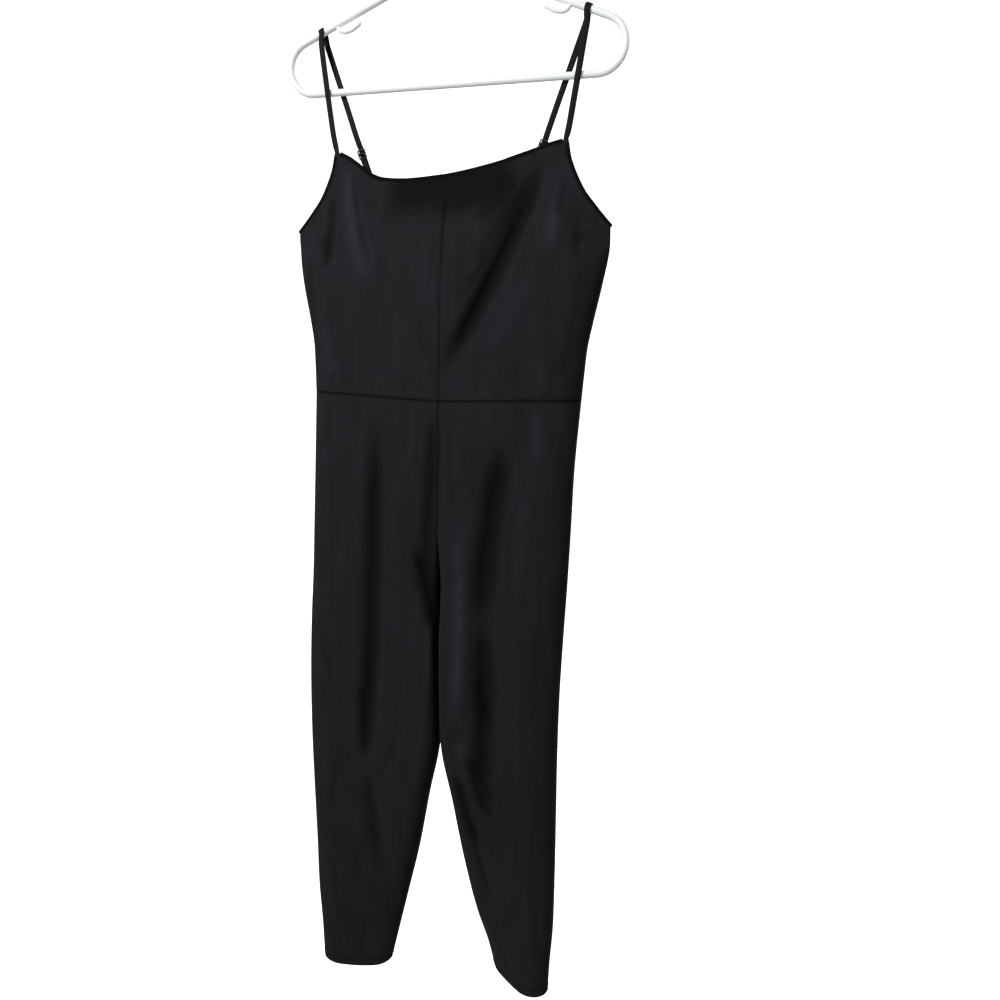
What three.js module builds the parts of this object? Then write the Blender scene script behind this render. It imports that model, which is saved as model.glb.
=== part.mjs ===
// A stretch-knit camisole jumpsuit with long narrow legs, hung by its two thin straps on a tubular hanger.
// Millimetres, +Z up, the front faces -Y. The origin is the inner top of the hanger's hook, where a rod carries it.
// Right and left are the wearer's: the right side is at -X. Heights are negative, measured down from the origin.
import * as THREE from "three";
import { mergeVertices } from "three/addons/utils/BufferGeometryUtils.js";

// Cloth
const WALL = 1.4;
const SEAM_GAP = 0.3;
const HALF_GAP = SEAM_GAP / 2;
const BINDING_WIDTH = 6;
const BINDING_THICKNESS = 2.2;
const UNDERARM_DEPTH = 2.4;
const SIDE_ROUND = 44;
const STRAP_WIDTH = 7.8;
const STRAP_THICKNESS = 1.2;
const TAB_THICKNESS = 1;
const LEAST_BODY_DEPTH = 3;
const LEAST_LEG_DEPTH = 6;

// How the bodice closes: over these heights its front and back come together below the underarm, its sides
// round out, and its side seam leaves the armhole, the last as a part of the seam's length.
const UNDERARM_EASE = 26;
const SIDE_CLOSING = 40;
const SIDE_SEAM_EASE = 7;

// Heights of the cut
const BACK_NECK_CENTRE = -353;
const BACK_NECK_CORNER = { x: 105, height: -343 };
const FRONT_NECK_CORNER_X = 147;
const UNDERARM = -403;
const WAIST = -611;
const WAIST_DIP = { depth: 6.5, reach: 110 };
const CROTCH = -868;
const RISE_CURVE_START = -785;
const STRAP_CORNER = -300;

// Hanger
const TUBE_RADIUS = 4.25;
const BAR_HEIGHT = -230;
const ARM_APEX = -90.5;
const ARM_SLOPE = 0.4;
const APEX_RADIUS = 30;
const BEND_CENTRE_X = 184;
const HOOK_WIRE_RADIUS = 3.5;
const HOOK_INNER_RADIUS = 19;
const HOOK_TURN = { from: -Math.PI / 5, to: 1.12 * Math.PI };
const HOOK_STEM = { straight: 8, bend: 16, pull: 30, lead: 12 };
const ARM_STATIONS_X = [60, 125];
const BAR_STATIONS_X = [90, 0, -90];

// Straps over the arms, sliders behind
const STRAP_ARM_X = 170;
const STRAP_STAND_OFF = 6;
const SLIDER = { x: 120, height: -304, width: 11.2, tall: 12, thick: 1.6, rim: 1.4, slot: 8.3 };
const TAB_FOOT = { x: 106.5, height: -341 };
const STRAP_LOOP = 1.75;
const TAB_LOOP = 1.65;
const WEAVE_BEND = 1;
const LAYER_GAP = 0.15;

// The strap above the slider and its tail below: rises over the middle bar, and how far behind the straps' plane.
const ABOVE_SLIDER = [
  { rise: 22, behind: 0.2 },
  { rise: 14, behind: 0.9 },
  { rise: 8, behind: STRAP_LOOP + LAYER_GAP },
];
const STRAP_TAIL = [
  { rise: -8, behind: 3.1 },
  { rise: -16, behind: 3.6 },
  { rise: -34, behind: 4.7 },
];
const TAB_RISES = { fold: -3, flat: -8 };

// The front strap's middle between the neck corner and the hanger's arm, and the back strap's below the arm.
const FRONT_STRAP = [
  { x: 154, height: -285 },
  { x: 157.5, height: -262 },
  { x: 162.4, height: -228 },
  { x: 167.5, height: -192 },
  { x: 170, height: -174 },
];
const BACK_STRAP = [
  { x: 167, height: -172 },
  { x: 158.5, height: -196 },
  { x: 147.8, height: -226 },
  { x: 136.4, height: -258 },
];

// The small hook for straps under each arm: the middle of its wire, from the arm inwards.
const STRAP_HOOK = [
  { x: 147.5, height: -154.9 },
  { x: 145, height: -157.6 },
  { x: 139, height: -159.2 },
  { x: 129, height: -157 },
  { x: 120, height: -151.5 },
];
const STRAP_HOOK_RADIUS = 2.8;

// How fine the walls are
const BODICE_COLUMNS = 14;
const BACK_HALF_COLUMNS = 10;
const BODICE_ROWS = 18;
const ARMHOLE_ROWS = 7;
const ARMHOLE_SHARE = ARMHOLE_ROWS / BODICE_ROWS;
const LEG_FRONT_COLUMNS = 14;
const LEG_BACK_COLUMNS = 9;
const LEG_ROWS = 31;
const EDGE_CROWDING = 0.5;
const EDGE_STEP = 0.02;
const CORNER_FADE = 3;
const BINDING_STEP = 0.01;
const ARMHOLE_STEP = 0.004;
const NECK_BINDING_END = 0.985;
const FRONT_STRAP_STEPS = 12;
const BACK_STRAP_STEPS = 8;
const WRAP_STEPS = 8;
const STRAP_EASE_STEPS = 4;

// The neckline's top edge from the centre front to the strap, a row for each turn of the curve.
const NECKLINE = {
  right: [
    { x: 0, height: -334 },
    { x: 40, height: -337 },
    { x: 71, height: -337.5 },
    { x: 93, height: -334 },
    { x: 108, height: -326.5 },
    { x: 122, height: -316 },
    { x: 134, height: -308 },
    { x: 147, height: -302 },
  ],
  left: [
    { x: 0, height: -334 },
    { x: 14, height: -332 },
    { x: 42, height: -327 },
    { x: 80, height: -318.5 },
    { x: 115, height: -309 },
    { x: 131, height: -304 },
    { x: 147, height: -300 },
  ],
};

// The front armhole's outer edge, from the strap down to the underarm.
const FRONT_ARMHOLE = [
  { x: 154.5, height: -300 },
  { x: 158, height: -319 },
  { x: 165.5, height: -339 },
  { x: 176, height: -359 },
  { x: 188, height: -374.5 },
  { x: 199, height: -387.5 },
  { x: 209.5, height: UNDERARM + 4 },
];

// The back armhole's outer edge, from the strap tab down to the underarm.
const BACK_ARMHOLE = [
  { x: 111, height: -341 },
  { x: 128, height: -349 },
  { x: 146, height: -359 },
  { x: 165, height: -371 },
  { x: 183, height: -382 },
  { x: 197, height: -391 },
  { x: 209.5, height: UNDERARM + 4 },
];

// The side seam from underarm to waist: half widths of each side.
const BODICE_SIDES = [
  { height: UNDERARM, right: 209.5, left: 209.5 },
  { height: -433, right: 206.5, left: 208 },
  { height: -468, right: 202, left: 202 },
  { height: -515, right: 193, left: 192.5 },
  { height: -545, right: 188.5, left: 187 },
  { height: -575, right: 187, left: 184.5 },
  { height: -611, right: 186, left: 182 },
];

// Half depth of the hanging body: how far front and back stand from the plane of the hanger.
const BODY_DEPTH = [
  { height: -296, front: 5.5, back: 5.5 },
  { height: -345, front: 8, back: 7.5 },
  { height: -403, front: 17, back: 15 },
  { height: -460, front: 23, back: 20 },
  { height: -540, front: 26, back: 23 },
  { height: -611, front: 27, back: 25 },
  { height: -720, front: 29, back: 28 },
  { height: -868, front: 29, back: 28 },
];

// Each leg, a row for each section: inner and outer edge, half depths, how far the edges are rounded,
// how far the section is turned with its outer edge to the front, and how far its middle hangs back.
const LEG_SECTIONS = {
  right: [
    { height: -611, inner: 0, outer: 186, front: 27, back: 25, innerRound: 34, outerRound: 46, turn: 0, set: 0 },
    { height: -697, inner: 0, outer: 189, front: 29, back: 27, innerRound: 34, outerRound: 46, turn: 0, set: 0 },
    { height: -785, inner: 0, outer: 192.5, front: 29, back: 28, innerRound: 34, outerRound: 46, turn: 0, set: 0 },
    { height: -868, inner: 0, outer: 196, front: 28, back: 27, innerRound: 28, outerRound: 44, turn: 0, set: 0 },
    { height: -926, inner: 0, outer: 199.5, front: 27, back: 26, innerRound: 10, outerRound: 42, turn: 0, set: 0 },
    { height: -1010, inner: 0.4, outer: 203, front: 25, back: 25, innerRound: 12, outerRound: 42, turn: 0, set: 0 },
    { height: -1104, inner: 2, outer: 203.5, front: 24, back: 24, innerRound: 22, outerRound: 42, turn: 0, set: 0 },
    { height: -1188, inner: 18, outer: 200.5, front: 23, back: 24, innerRound: 26, outerRound: 40, turn: 2, set: 1 },
    { height: -1284, inner: 35, outer: 197.5, front: 22, back: 23, innerRound: 26, outerRound: 38, turn: 4, set: 3 },
    { height: -1369, inner: 54, outer: 196, front: 20, back: 22, innerRound: 25, outerRound: 34, turn: 6, set: 5 },
    { height: -1430, inner: 68, outer: 192.5, front: 19, back: 21, innerRound: 24, outerRound: 32, turn: 8, set: 7 },
    { height: -1503, inner: 84, outer: 190, front: 18, back: 20, innerRound: 24, outerRound: 30, turn: 9, set: 8 },
  ],
  left: [
    { height: -611, inner: 0, outer: 182, front: 27, back: 25, innerRound: 34, outerRound: 46, turn: 0, set: 0 },
    { height: -697, inner: 0, outer: 177, front: 29, back: 27, innerRound: 20, outerRound: 48, turn: 0, set: 0 },
    { height: -785, inner: 0, outer: 175.5, front: 29, back: 28, innerRound: 16, outerRound: 50, turn: 0, set: 0 },
    { height: -868, inner: 0, outer: 173.5, front: 30, back: 29, innerRound: 13, outerRound: 52, turn: 0, set: 0 },
    { height: -926, inner: 0, outer: 171.5, front: 32, back: 31, innerRound: 9, outerRound: 54, turn: 0, set: 0 },
    { height: -1010, inner: 0.4, outer: 169.5, front: 34, back: 32, innerRound: 14, outerRound: 56, turn: 0, set: 0 },
    { height: -1104, inner: 2, outer: 170, front: 35, back: 33, innerRound: 26, outerRound: 56, turn: 2, set: 1 },
    { height: -1188, inner: 17, outer: 172, front: 34, back: 33, innerRound: 34, outerRound: 54, turn: 6, set: 4 },
    { height: -1284, inner: 33, outer: 174.5, front: 32, back: 32, innerRound: 36, outerRound: 50, turn: 12, set: 8 },
    { height: -1369, inner: 50, outer: 176, front: 29, back: 30, innerRound: 34, outerRound: 42, turn: 20, set: 13 },
    { height: -1430, inner: 64, outer: 175, front: 25, back: 27, innerRound: 32, outerRound: 36, turn: 30, set: 18 },
    { height: -1503, inner: 77, outer: 176, front: 21, back: 23, innerRound: 30, outerRound: 32, turn: 38, set: 22 },
  ],
};

// Hem heights at the inner seam, the middle and the outer seam of each leg.
const HEMS = {
  right: { inner: -1488, middle: -1497, outer: -1494 },
  left: { inner: -1468, middle: -1476, outer: -1470 },
};

// The largest folds: both ends, sideways bow at mid length, half width and depth. A depth below 0 is a ridge.
const FRONT_FOLDS = [
  { x1: -134, z1: -312, x2: -92, z2: -480, bow: -4, width: 15, depth: -5 },
  { x1: -155, z1: -350, x2: -158, z2: -455, bow: 0, width: 8, depth: 5 },
  { x1: 122, z1: -332, x2: 12, z2: -565, bow: 5, width: 18, depth: 9 },
  { x1: 30, z1: -352, x2: 10, z2: -395, bow: 0, width: 62, depth: 5 },
  { x1: 150, z1: -318, x2: 137, z2: -440, bow: 3, width: 10, depth: -3.5 },
  { x1: 153, z1: -338, x2: 148, z2: -396, bow: 0, width: 6, depth: 3.5 },
  { x1: -168, z1: -517, x2: -141, z2: -600, bow: 0, width: 12, depth: -2.5 },
  { x1: -87, z1: -636, x2: -110, z2: -1150, bow: 4, width: 12, depth: 8 },
  { x1: -112, z1: -1160, x2: -98, z2: -1320, bow: 6, width: 12, depth: 4 },
  { x1: -6, z1: -632, x2: -18, z2: -850, bow: 3, width: 11, depth: 5.5 },
  { x1: 90, z1: -665, x2: 62, z2: -920, bow: -4, width: 15, depth: 9 },
  { x1: 62, z1: -900, x2: 71, z2: -1165, bow: 6, width: 15, depth: 8 },
  { x1: 36, z1: -1130, x2: 70, z2: -1250, bow: -5, width: 11, depth: 6 },
  { x1: 29, z1: -770, x2: 30, z2: -1070, bow: 10, width: 13, depth: -5 },
  { x1: 40, z1: -1075, x2: 64, z2: -1165, bow: 0, width: 11, depth: -4 },
];
const BACK_FOLDS = [
  { x1: 104, z1: -350, x2: 70, z2: -520, bow: 4, width: 14, depth: -5 },
  { x1: -104, z1: -352, x2: -62, z2: -500, bow: -3, width: 15, depth: -4.5 },
  { x1: -70, z1: -365, x2: 30, z2: -560, bow: -6, width: 16, depth: 7 },
  { x1: 60, z1: -400, x2: 92, z2: -585, bow: 4, width: 13, depth: 5 },
  { x1: 96, z1: -640, x2: 84, z2: -1010, bow: 5, width: 14, depth: 8 },
  { x1: -84, z1: -650, x2: -96, z2: -960, bow: -4, width: 15, depth: 8 },
  { x1: -70, z1: -985, x2: -104, z2: -1210, bow: 5, width: 13, depth: 6 },
  { x1: 60, z1: -1040, x2: 88, z2: -1230, bow: -4, width: 13, depth: 6 },
  { x1: -24, z1: -640, x2: -16, z2: -830, bow: 3, width: 12, depth: 5 },
  { x1: 34, z1: -660, x2: 22, z2: -850, bow: -3, width: 12, depth: -4 },
];
const FOLD_FADE = 0.3;

const knit = new THREE.MeshStandardMaterial({ color: 0x201e22, roughness: 0.88, metalness: 0 });
const tape = new THREE.MeshStandardMaterial({ color: 0x1a181b, roughness: 0.8, metalness: 0 });
const sliderPlastic = new THREE.MeshStandardMaterial({ color: 0x0c0c0d, roughness: 0.4, metalness: 0 });
const hangerPlastic = new THREE.MeshStandardMaterial({ color: 0xeeeeec, roughness: 0.42, metalness: 0 });

const part = new THREE.Group();

function addPiece(name, geometry, material) {
  const mesh = new THREE.Mesh(facingOut(geometry), material);
  mesh.name = name;
  part.add(mesh);
}

const mix = (a, b, t) => a + (b - a) * t;
const clamp01 = (t) => Math.min(1, Math.max(0, t));
const smooth = (t) => clamp01(t) ** 2 * (3 - 2 * clamp01(t));

// A column of a table at any height or place, by a smooth curve through its rows.
function read(rows, column, key, at) {
  const order = Math.sign(rows[rows.length - 1][key] - rows[0][key]);
  let i = 0;
  while (i < rows.length - 2 && order * at > order * rows[i + 1][key]) i += 1;
  const [a, b] = [rows[i], rows[i + 1]];
  const t = clamp01((at - a[key]) / (b[key] - a[key]));
  const slope = (p, q) => (q[column] - p[column]) / (q[key] - p[key]);
  const here = slope(a, b);
  const before = i > 0 ? (slope(rows[i - 1], a) + here) / 2 : here;
  const after = i < rows.length - 2 ? (here + slope(b, rows[i + 2])) / 2 : here;
  const step = b[key] - a[key];
  return (
    a[column] * (1 + 2 * t) * (1 - t) ** 2 +
    b[column] * t * t * (3 - 2 * t) +
    before * step * t * (1 - t) ** 2 -
    after * step * t * t * (1 - t)
  );
}

// A point of an edge table at a share of its length, counted by rows.
function along(rows, share) {
  const numbered = rows.map((row, i) => ({ ...row, place: i / (rows.length - 1) }));
  return { x: read(numbered, "x", "place", share), height: read(numbered, "height", "place", share) };
}

// How deep the folds press in at a place of the front or the back.
function foldDepth(folds, x, height) {
  let sum = 0;
  for (const fold of folds) {
    const run = { x: fold.x2 - fold.x1, z: fold.z2 - fold.z1 };
    const length = Math.hypot(run.x, run.z);
    const t = ((x - fold.x1) * run.x + (height - fold.z1) * run.z) / length ** 2;
    const beside = ((x - fold.x1) * run.z - (height - fold.z1) * run.x) / length;
    const away = beside + fold.bow * 4 * clamp01(t) * (1 - clamp01(t));
    const ends = smooth((t + 0.05) / FOLD_FADE) * smooth((1.05 - t) / FOLD_FADE);
    sum += fold.depth * ends * Math.exp(-((away / fold.width) ** 2));
  }
  return sum;
}

const roundEdge = (distance, reach) => Math.sqrt(1 - (1 - clamp01(distance / reach)) ** 2);
const softEdge = (distance, reach) => smooth(distance / reach);

// Even steps, drawn closer towards both ends.
const crowd = (t) => mix(t, (1 - Math.cos(Math.PI * t)) / 2, EDGE_CROWDING);
const crowdOuter = (t) => mix(t, Math.sin((Math.PI / 2) * t), EDGE_CROWDING);

// A geometry of quads and triangles from a list of points and a list of faces.
function geometryOf(points, faces) {
  const geometry = new THREE.BufferGeometry();
  geometry.setAttribute("position", new THREE.Float32BufferAttribute(points.flatMap((p) => [p.x, p.y, p.z]), 3));
  geometry.setIndex(faces.flatMap((f) => (f.length === 4 ? [f[0], f[1], f[2], f[0], f[2], f[3]] : f)));
  return geometry;
}

// Turns every face round where the whole body would be inside out.
function facingOut(geometry) {
  const merged = mergeVertices(geometry, 1e-4);
  const place = merged.getAttribute("position");
  const index = merged.index.array;
  const [a, b, c] = [new THREE.Vector3(), new THREE.Vector3(), new THREE.Vector3()];
  let volume = 0;
  for (let i = 0; i < index.length; i += 3) {
    a.fromBufferAttribute(place, index[i]);
    b.fromBufferAttribute(place, index[i + 1]);
    c.fromBufferAttribute(place, index[i + 2]);
    volume += a.dot(b.cross(c));
  }
  if (volume < 0) {
    for (let i = 0; i < index.length; i += 3) [index[i + 1], index[i + 2]] = [index[i + 2], index[i + 1]];
  }
  merged.computeVertexNormals();
  return merged;
}

// A wall of cloth: its outer face is the surface, its inner face lies one wall inside it, and four rims close it.
function wall({ surface, facing, columns, rows, within, place }) {
  const small = 1e-3;
  const at = (u, v) => surface(clamp01(u), clamp01(v));
  const normalAt = (u, v) => {
    const alongU = at(u + small, v).sub(at(u - small, v));
    const alongV = at(u, v + small).sub(at(u, v - small));
    return alongU.cross(alongV).normalize();
  };
  const turn = Math.sign(normalAt(0.5, 0.5).dot(facing));
  const points = [];
  for (const depth of [0, WALL]) {
    for (let j = 0; j <= rows; j += 1) {
      for (let i = 0; i <= columns; i += 1) {
        const [u, v] = [i / columns, j / rows];
        const point = at(u, v).addScaledVector(normalAt(u, v), -turn * depth);
        points.push(place(within(point), v));
      }
    }
  }
  const number = (layer, i, j) => layer * (rows + 1) * (columns + 1) + j * (columns + 1) + i;
  const faces = [];
  for (let j = 0; j < rows; j += 1) {
    for (let i = 0; i < columns; i += 1) {
      const ring = [[i, j], [i + 1, j], [i + 1, j + 1], [i, j + 1]];
      faces.push(ring.map(([p, q]) => number(0, p, q)));
      faces.push(ring.map(([p, q]) => number(1, p, q)).reverse());
    }
  }
  const rim = (list) => {
    for (let k = 0; k < list.length - 1; k += 1) {
      const [p, q] = [list[k], list[k + 1]];
      faces.push([number(0, ...q), number(0, ...p), number(1, ...p), number(1, ...q)]);
    }
  };
  const across = [...Array(columns + 1).keys()];
  const down = [...Array(rows + 1).keys()];
  rim(across.map((i) => [i, 0]));
  rim(down.map((j) => [columns, j]));
  rim(across.map((i) => [columns - i, rows]));
  rim(down.map((j) => [0, rows - j]));
  return geometryOf(points, faces);
}

// A solid skinned over rings of points, closed on itself or with a flat cap at each end.
function skin(rings, closed) {
  const sides = rings[0].length;
  const points = rings.flat();
  const faces = [];
  const last = closed ? rings.length : rings.length - 1;
  for (let j = 0; j < last; j += 1) {
    const next = (j + 1) % rings.length;
    for (let i = 0; i < sides; i += 1) {
      const k = (i + 1) % sides;
      faces.push([j * sides + i, j * sides + k, next * sides + k, next * sides + i]);
    }
  }
  if (!closed) {
    const end = (rings.length - 1) * sides;
    for (let i = 1; i < sides - 1; i += 1) {
      faces.push([0, i + 1, i]);
      faces.push([end, end + i, end + i + 1]);
    }
  }
  return geometryOf(points, faces);
}

// A round tube along a path that lies in the hanger's plane.
function tube(path, radius, sides, closed) {
  const rings = path.map((point, j) => {
    const before = path[closed ? (j + path.length - 1) % path.length : Math.max(0, j - 1)];
    const after = path[closed ? (j + 1) % path.length : Math.min(path.length - 1, j + 1)];
    const beside = new THREE.Vector3(after.z - before.z, 0, before.x - after.x).normalize();
    return [...Array(sides).keys()].map((i) => {
      const angle = (2 * Math.PI * i) / sides;
      const out = point.clone().addScaledVector(beside, radius * Math.cos(angle));
      return out.add(new THREE.Vector3(0, radius * Math.sin(angle), 0));
    });
  });
  return skin(rings, closed);
}

// A flat band through stations, each with its middle, the way across it and the way out of its face.
function band(stations, thickness) {
  const rings = stations.map(({ middle, across, out, width }) =>
    [[-1, -1], [1, -1], [1, 1], [-1, 1]].map(([a, o]) =>
      middle
        .clone()
        .addScaledVector(across, (a * width) / 2)
        .addScaledVector(out, (o * thickness) / 2),
    ),
  );
  return skin(rings, false);
}

// Bodice

const FACES = {
  front: { way: -1, folds: FRONT_FOLDS },
  back: { way: 1, folds: BACK_FOLDS },
};

// The top edge of a bodice piece, below its binding, at a share of the way from the centre to the armhole.
function topEdge(face, side, u) {
  const drop = BINDING_WIDTH + SEAM_GAP;
  if (face === "front") {
    const x = FRONT_NECK_CORNER_X * u;
    return { x, height: read(NECKLINE[side], "height", "x", x) - drop };
  }
  return { x: BACK_NECK_CORNER.x * u, height: mix(BACK_NECK_CENTRE, BACK_NECK_CORNER.height, u * u) - drop };
}

// Where an armhole's edge would start by itself, inside its binding.
function cornerHeight(armhole) {
  const [start, next] = [along(armhole, 0), along(armhole, EDGE_STEP)];
  const run = Math.hypot(next.x - start.x, next.height - start.height);
  return start.height - ((BINDING_WIDTH + SEAM_GAP) * (next.x - start.x)) / run;
}

// The outer edge of a bodice piece: down the armhole inside its binding, then down the side seam.
// It starts at the end of the top edge and eases from there to the armhole's own line.
function outerEdge(face, side, v) {
  const armhole = face === "front" ? FRONT_ARMHOLE : BACK_ARMHOLE;
  if (v <= ARMHOLE_SHARE) {
    const share = v / ARMHOLE_SHARE;
    const edge = along(armhole, share);
    const ahead = along(armhole, Math.min(1, share + EDGE_STEP));
    const behind = along(armhole, Math.max(0, share - EDGE_STEP));
    const run = Math.hypot(ahead.x - behind.x, ahead.height - behind.height);
    const inset = BINDING_WIDTH + SEAM_GAP;
    const acrossX = (ahead.height - behind.height) / run;
    const acrossZ = -(ahead.x - behind.x) / run;
    const lowered = topEdge(face, side, 1).height - cornerHeight(armhole);
    return {
      x: edge.x + inset * acrossX,
      height: edge.height + inset * acrossZ + lowered * (1 - share) ** CORNER_FADE,
    };
  }
  const low = outerEdge(face, side, ARMHOLE_SHARE);
  const share = (v - ARMHOLE_SHARE) / (1 - ARMHOLE_SHARE);
  const height = mix(low.height, WAIST + HALF_GAP, share);
  const sideX = read(BODICE_SIDES, side, "height", height);
  return { x: mix(low.x, sideX, smooth(share * SIDE_SEAM_EASE)), height };
}

// How far from the hanger's plane the outer edge lies: apart at the strap, joined below the underarm.
function edgeDepth(height) {
  const rise = smooth((height - UNDERARM) / (STRAP_CORNER - UNDERARM));
  const above = mix(UNDERARM_DEPTH, STRAP_STAND_OFF - 0.5, rise);
  return mix(HALF_GAP, above, smooth((height - UNDERARM + UNDERARM_EASE) / UNDERARM_EASE));
}

// The lower edge of a bodice piece at the waist seam.
function waistHeight(x) {
  return WAIST - WAIST_DIP.depth * Math.exp(-((x / WAIST_DIP.reach) ** 2));
}

// A bodice point between its four edges, with the depth of the hanging body and its folds.
function bodicePoint(face, side, u, v) {
  const sign = side === "right" ? -1 : 1;
  const spread = crowdOuter(u);
  const top = topEdge(face, side, spread);
  const outer = outerEdge(face, side, v);
  const corner = outerEdge(face, side, 0);
  const centreTop = topEdge(face, side, 0).height;
  const endX = outerEdge(face, side, 1).x;
  const waist = (share) => waistHeight(endX * share) + HALF_GAP;
  const topX = mix(0, corner.x, spread);
  const bottomX = endX * spread;
  const x =
    mix(topX, bottomX, v) + spread * outer.x - spread * mix(corner.x, endX, v);
  const height =
    mix(top.height, waist(spread), v) +
    mix(mix(centreTop, waist(0), v), outer.height, spread) -
    mix(mix(centreTop, waist(0), v), mix(corner.height, waist(1), v), spread);
  const depth = read(BODY_DEPTH, face, "height", height);
  const closed = smooth((UNDERARM - outer.height) / SIDE_CLOSING);
  const rounded = mix(softEdge(outer.x - x, SIDE_ROUND), roundEdge(outer.x - x, SIDE_ROUND), closed);
  const folded = depth - foldDepth(FACES[face].folds, sign * x, height);
  const y = FACES[face].way * mix(edgeDepth(outer.height), Math.max(folded, LEAST_BODY_DEPTH), rounded);
  return new THREE.Vector3(sign * Math.max(x, face === "front" ? HALF_GAP : 0), y, height);
}

function facingOf(face) {
  return new THREE.Vector3(0, FACES[face].way, 0);
}

// Keeps a point of a wall on its own side of the seams that it meets.
function withinSeams(face, side) {
  const way = FACES[face].way;
  const sign = side === "right" ? -1 : 1;
  return (point) => {
    point.y = way * Math.max(HALF_GAP, way * point.y);
    if (side) point.x = sign * Math.max(HALF_GAP, sign * point.x);
    return point;
  };
}

function bodiceFront(side) {
  return wall({
    surface: (u, v) => bodicePoint("front", side, u, v),
    facing: facingOf("front"),
    columns: BODICE_COLUMNS,
    rows: BODICE_ROWS,
    within: withinSeams("front", side),
    place: (point) => point,
  });
}

// The back is one piece, from the right side seam to the left.
function bodiceBack() {
  return wall({
    surface: (u, v) => bodicePoint("back", u < 0.5 ? "right" : "left", Math.abs(2 * u - 1), v),
    facing: facingOf("back"),
    columns: 2 * BACK_HALF_COLUMNS,
    rows: BODICE_ROWS,
    within: withinSeams("back", null),
    place: (point) => point,
  });
}

// Legs

function hemHeight(side, share) {
  const { inner, middle, outer } = HEMS[side];
  return mix(inner, outer, share) + (middle - (inner + outer) / 2) * 4 * share * (1 - share);
}

// A leg point before its turn: u runs from the inner seam to the side seam, v from the waist to the hem.
function legPoint(face, side, u, v) {
  const sign = side === "right" ? -1 : 1;
  const spread = crowd(u);
  const rows = LEG_SECTIONS[side];
  const rough = mix(WAIST, hemHeight(side, spread), v);
  const inner = Math.max(read(rows, "inner", "height", rough), 0);
  const outer = read(rows, "outer", "height", rough);
  const x = mix(inner, outer, spread);
  const top = waistHeight(x) - HALF_GAP;
  const height = mix(top, hemHeight(side, spread), v);
  const split = 1 - smooth((RISE_CURVE_START - height) / (RISE_CURVE_START - CROTCH));
  const innerReach = read(rows, "innerRound", "height", height);
  const outerReach = read(rows, "outerRound", "height", height);
  const depth = read(rows, face, "height", height);
  const folds = foldDepth(FACES[face].folds, sign * x, height);
  const rounded = roundEdge(outer - x, outerReach) * mix(roundEdge(x - inner, innerReach), 1, split);
  const y = FACES[face].way * Math.max(Math.max(depth - folds, LEAST_LEG_DEPTH) * rounded, HALF_GAP);
  return new THREE.Vector3(sign * Math.max(x, HALF_GAP), y, height);
}

// Turns a leg's section about its own middle and sets it back, as the leg hangs.
function hangLeg(side) {
  const sign = side === "right" ? -1 : 1;
  const rows = LEG_SECTIONS[side];
  const axis = new THREE.Vector3(0, 0, 1);
  return (point) => {
    const middle = (read(rows, "inner", "height", point.z) + read(rows, "outer", "height", point.z)) / 2;
    const angle = THREE.MathUtils.degToRad(read(rows, "turn", "height", point.z));
    point.x -= sign * middle;
    point.applyAxisAngle(axis, -sign * angle);
    point.x += sign * middle;
    point.y += read(rows, "set", "height", point.z);
    return point;
  };
}

function leg(face, side) {
  return wall({
    surface: (u, v) => legPoint(face, side, u, v),
    facing: facingOf(face),
    columns: face === "front" ? LEG_FRONT_COLUMNS : LEG_BACK_COLUMNS,
    rows: LEG_ROWS,
    within: withinSeams(face, side),
    place: hangLeg(side),
  });
}

// Bindings, straps and sliders

// A station of a binding that carries a piece's edge on: its way across is square to the edge, in the cloth.
function bindingStation(at, beside, inward, face) {
  const edge = at(0, 0);
  const ahead = at(...beside).sub(at(-beside[0], -beside[1])).normalize();
  const across = edge.clone().sub(at(...inward));
  across.addScaledVector(ahead, -across.dot(ahead)).normalize();
  const out = new THREE.Vector3().crossVectors(across, ahead);
  if (out.y * FACES[face].way < 0) out.negate();
  const middle = edge.clone().addScaledVector(across, SEAM_GAP + BINDING_WIDTH / 2);
  middle.addScaledVector(out, -WALL / 2);
  return { middle, across, out, width: BINDING_WIDTH };
}

function neckBinding(face) {
  const steps = face === "front" ? BODICE_COLUMNS : BACK_HALF_COLUMNS;
  const stations = [];
  for (let i = -steps; i <= steps; i += 1) {
    const side = i < 0 ? "right" : "left";
    const u = Math.min(Math.abs(i) / steps, NECK_BINDING_END);
    const at = (du, dv) => bodicePoint(face, u + du < 0 ? "right" : side, Math.abs(u + du), dv);
    stations.push(bindingStation(at, [BINDING_STEP, 0], [0, EDGE_STEP], face));
  }
  return band(stations, BINDING_THICKNESS);
}

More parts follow.
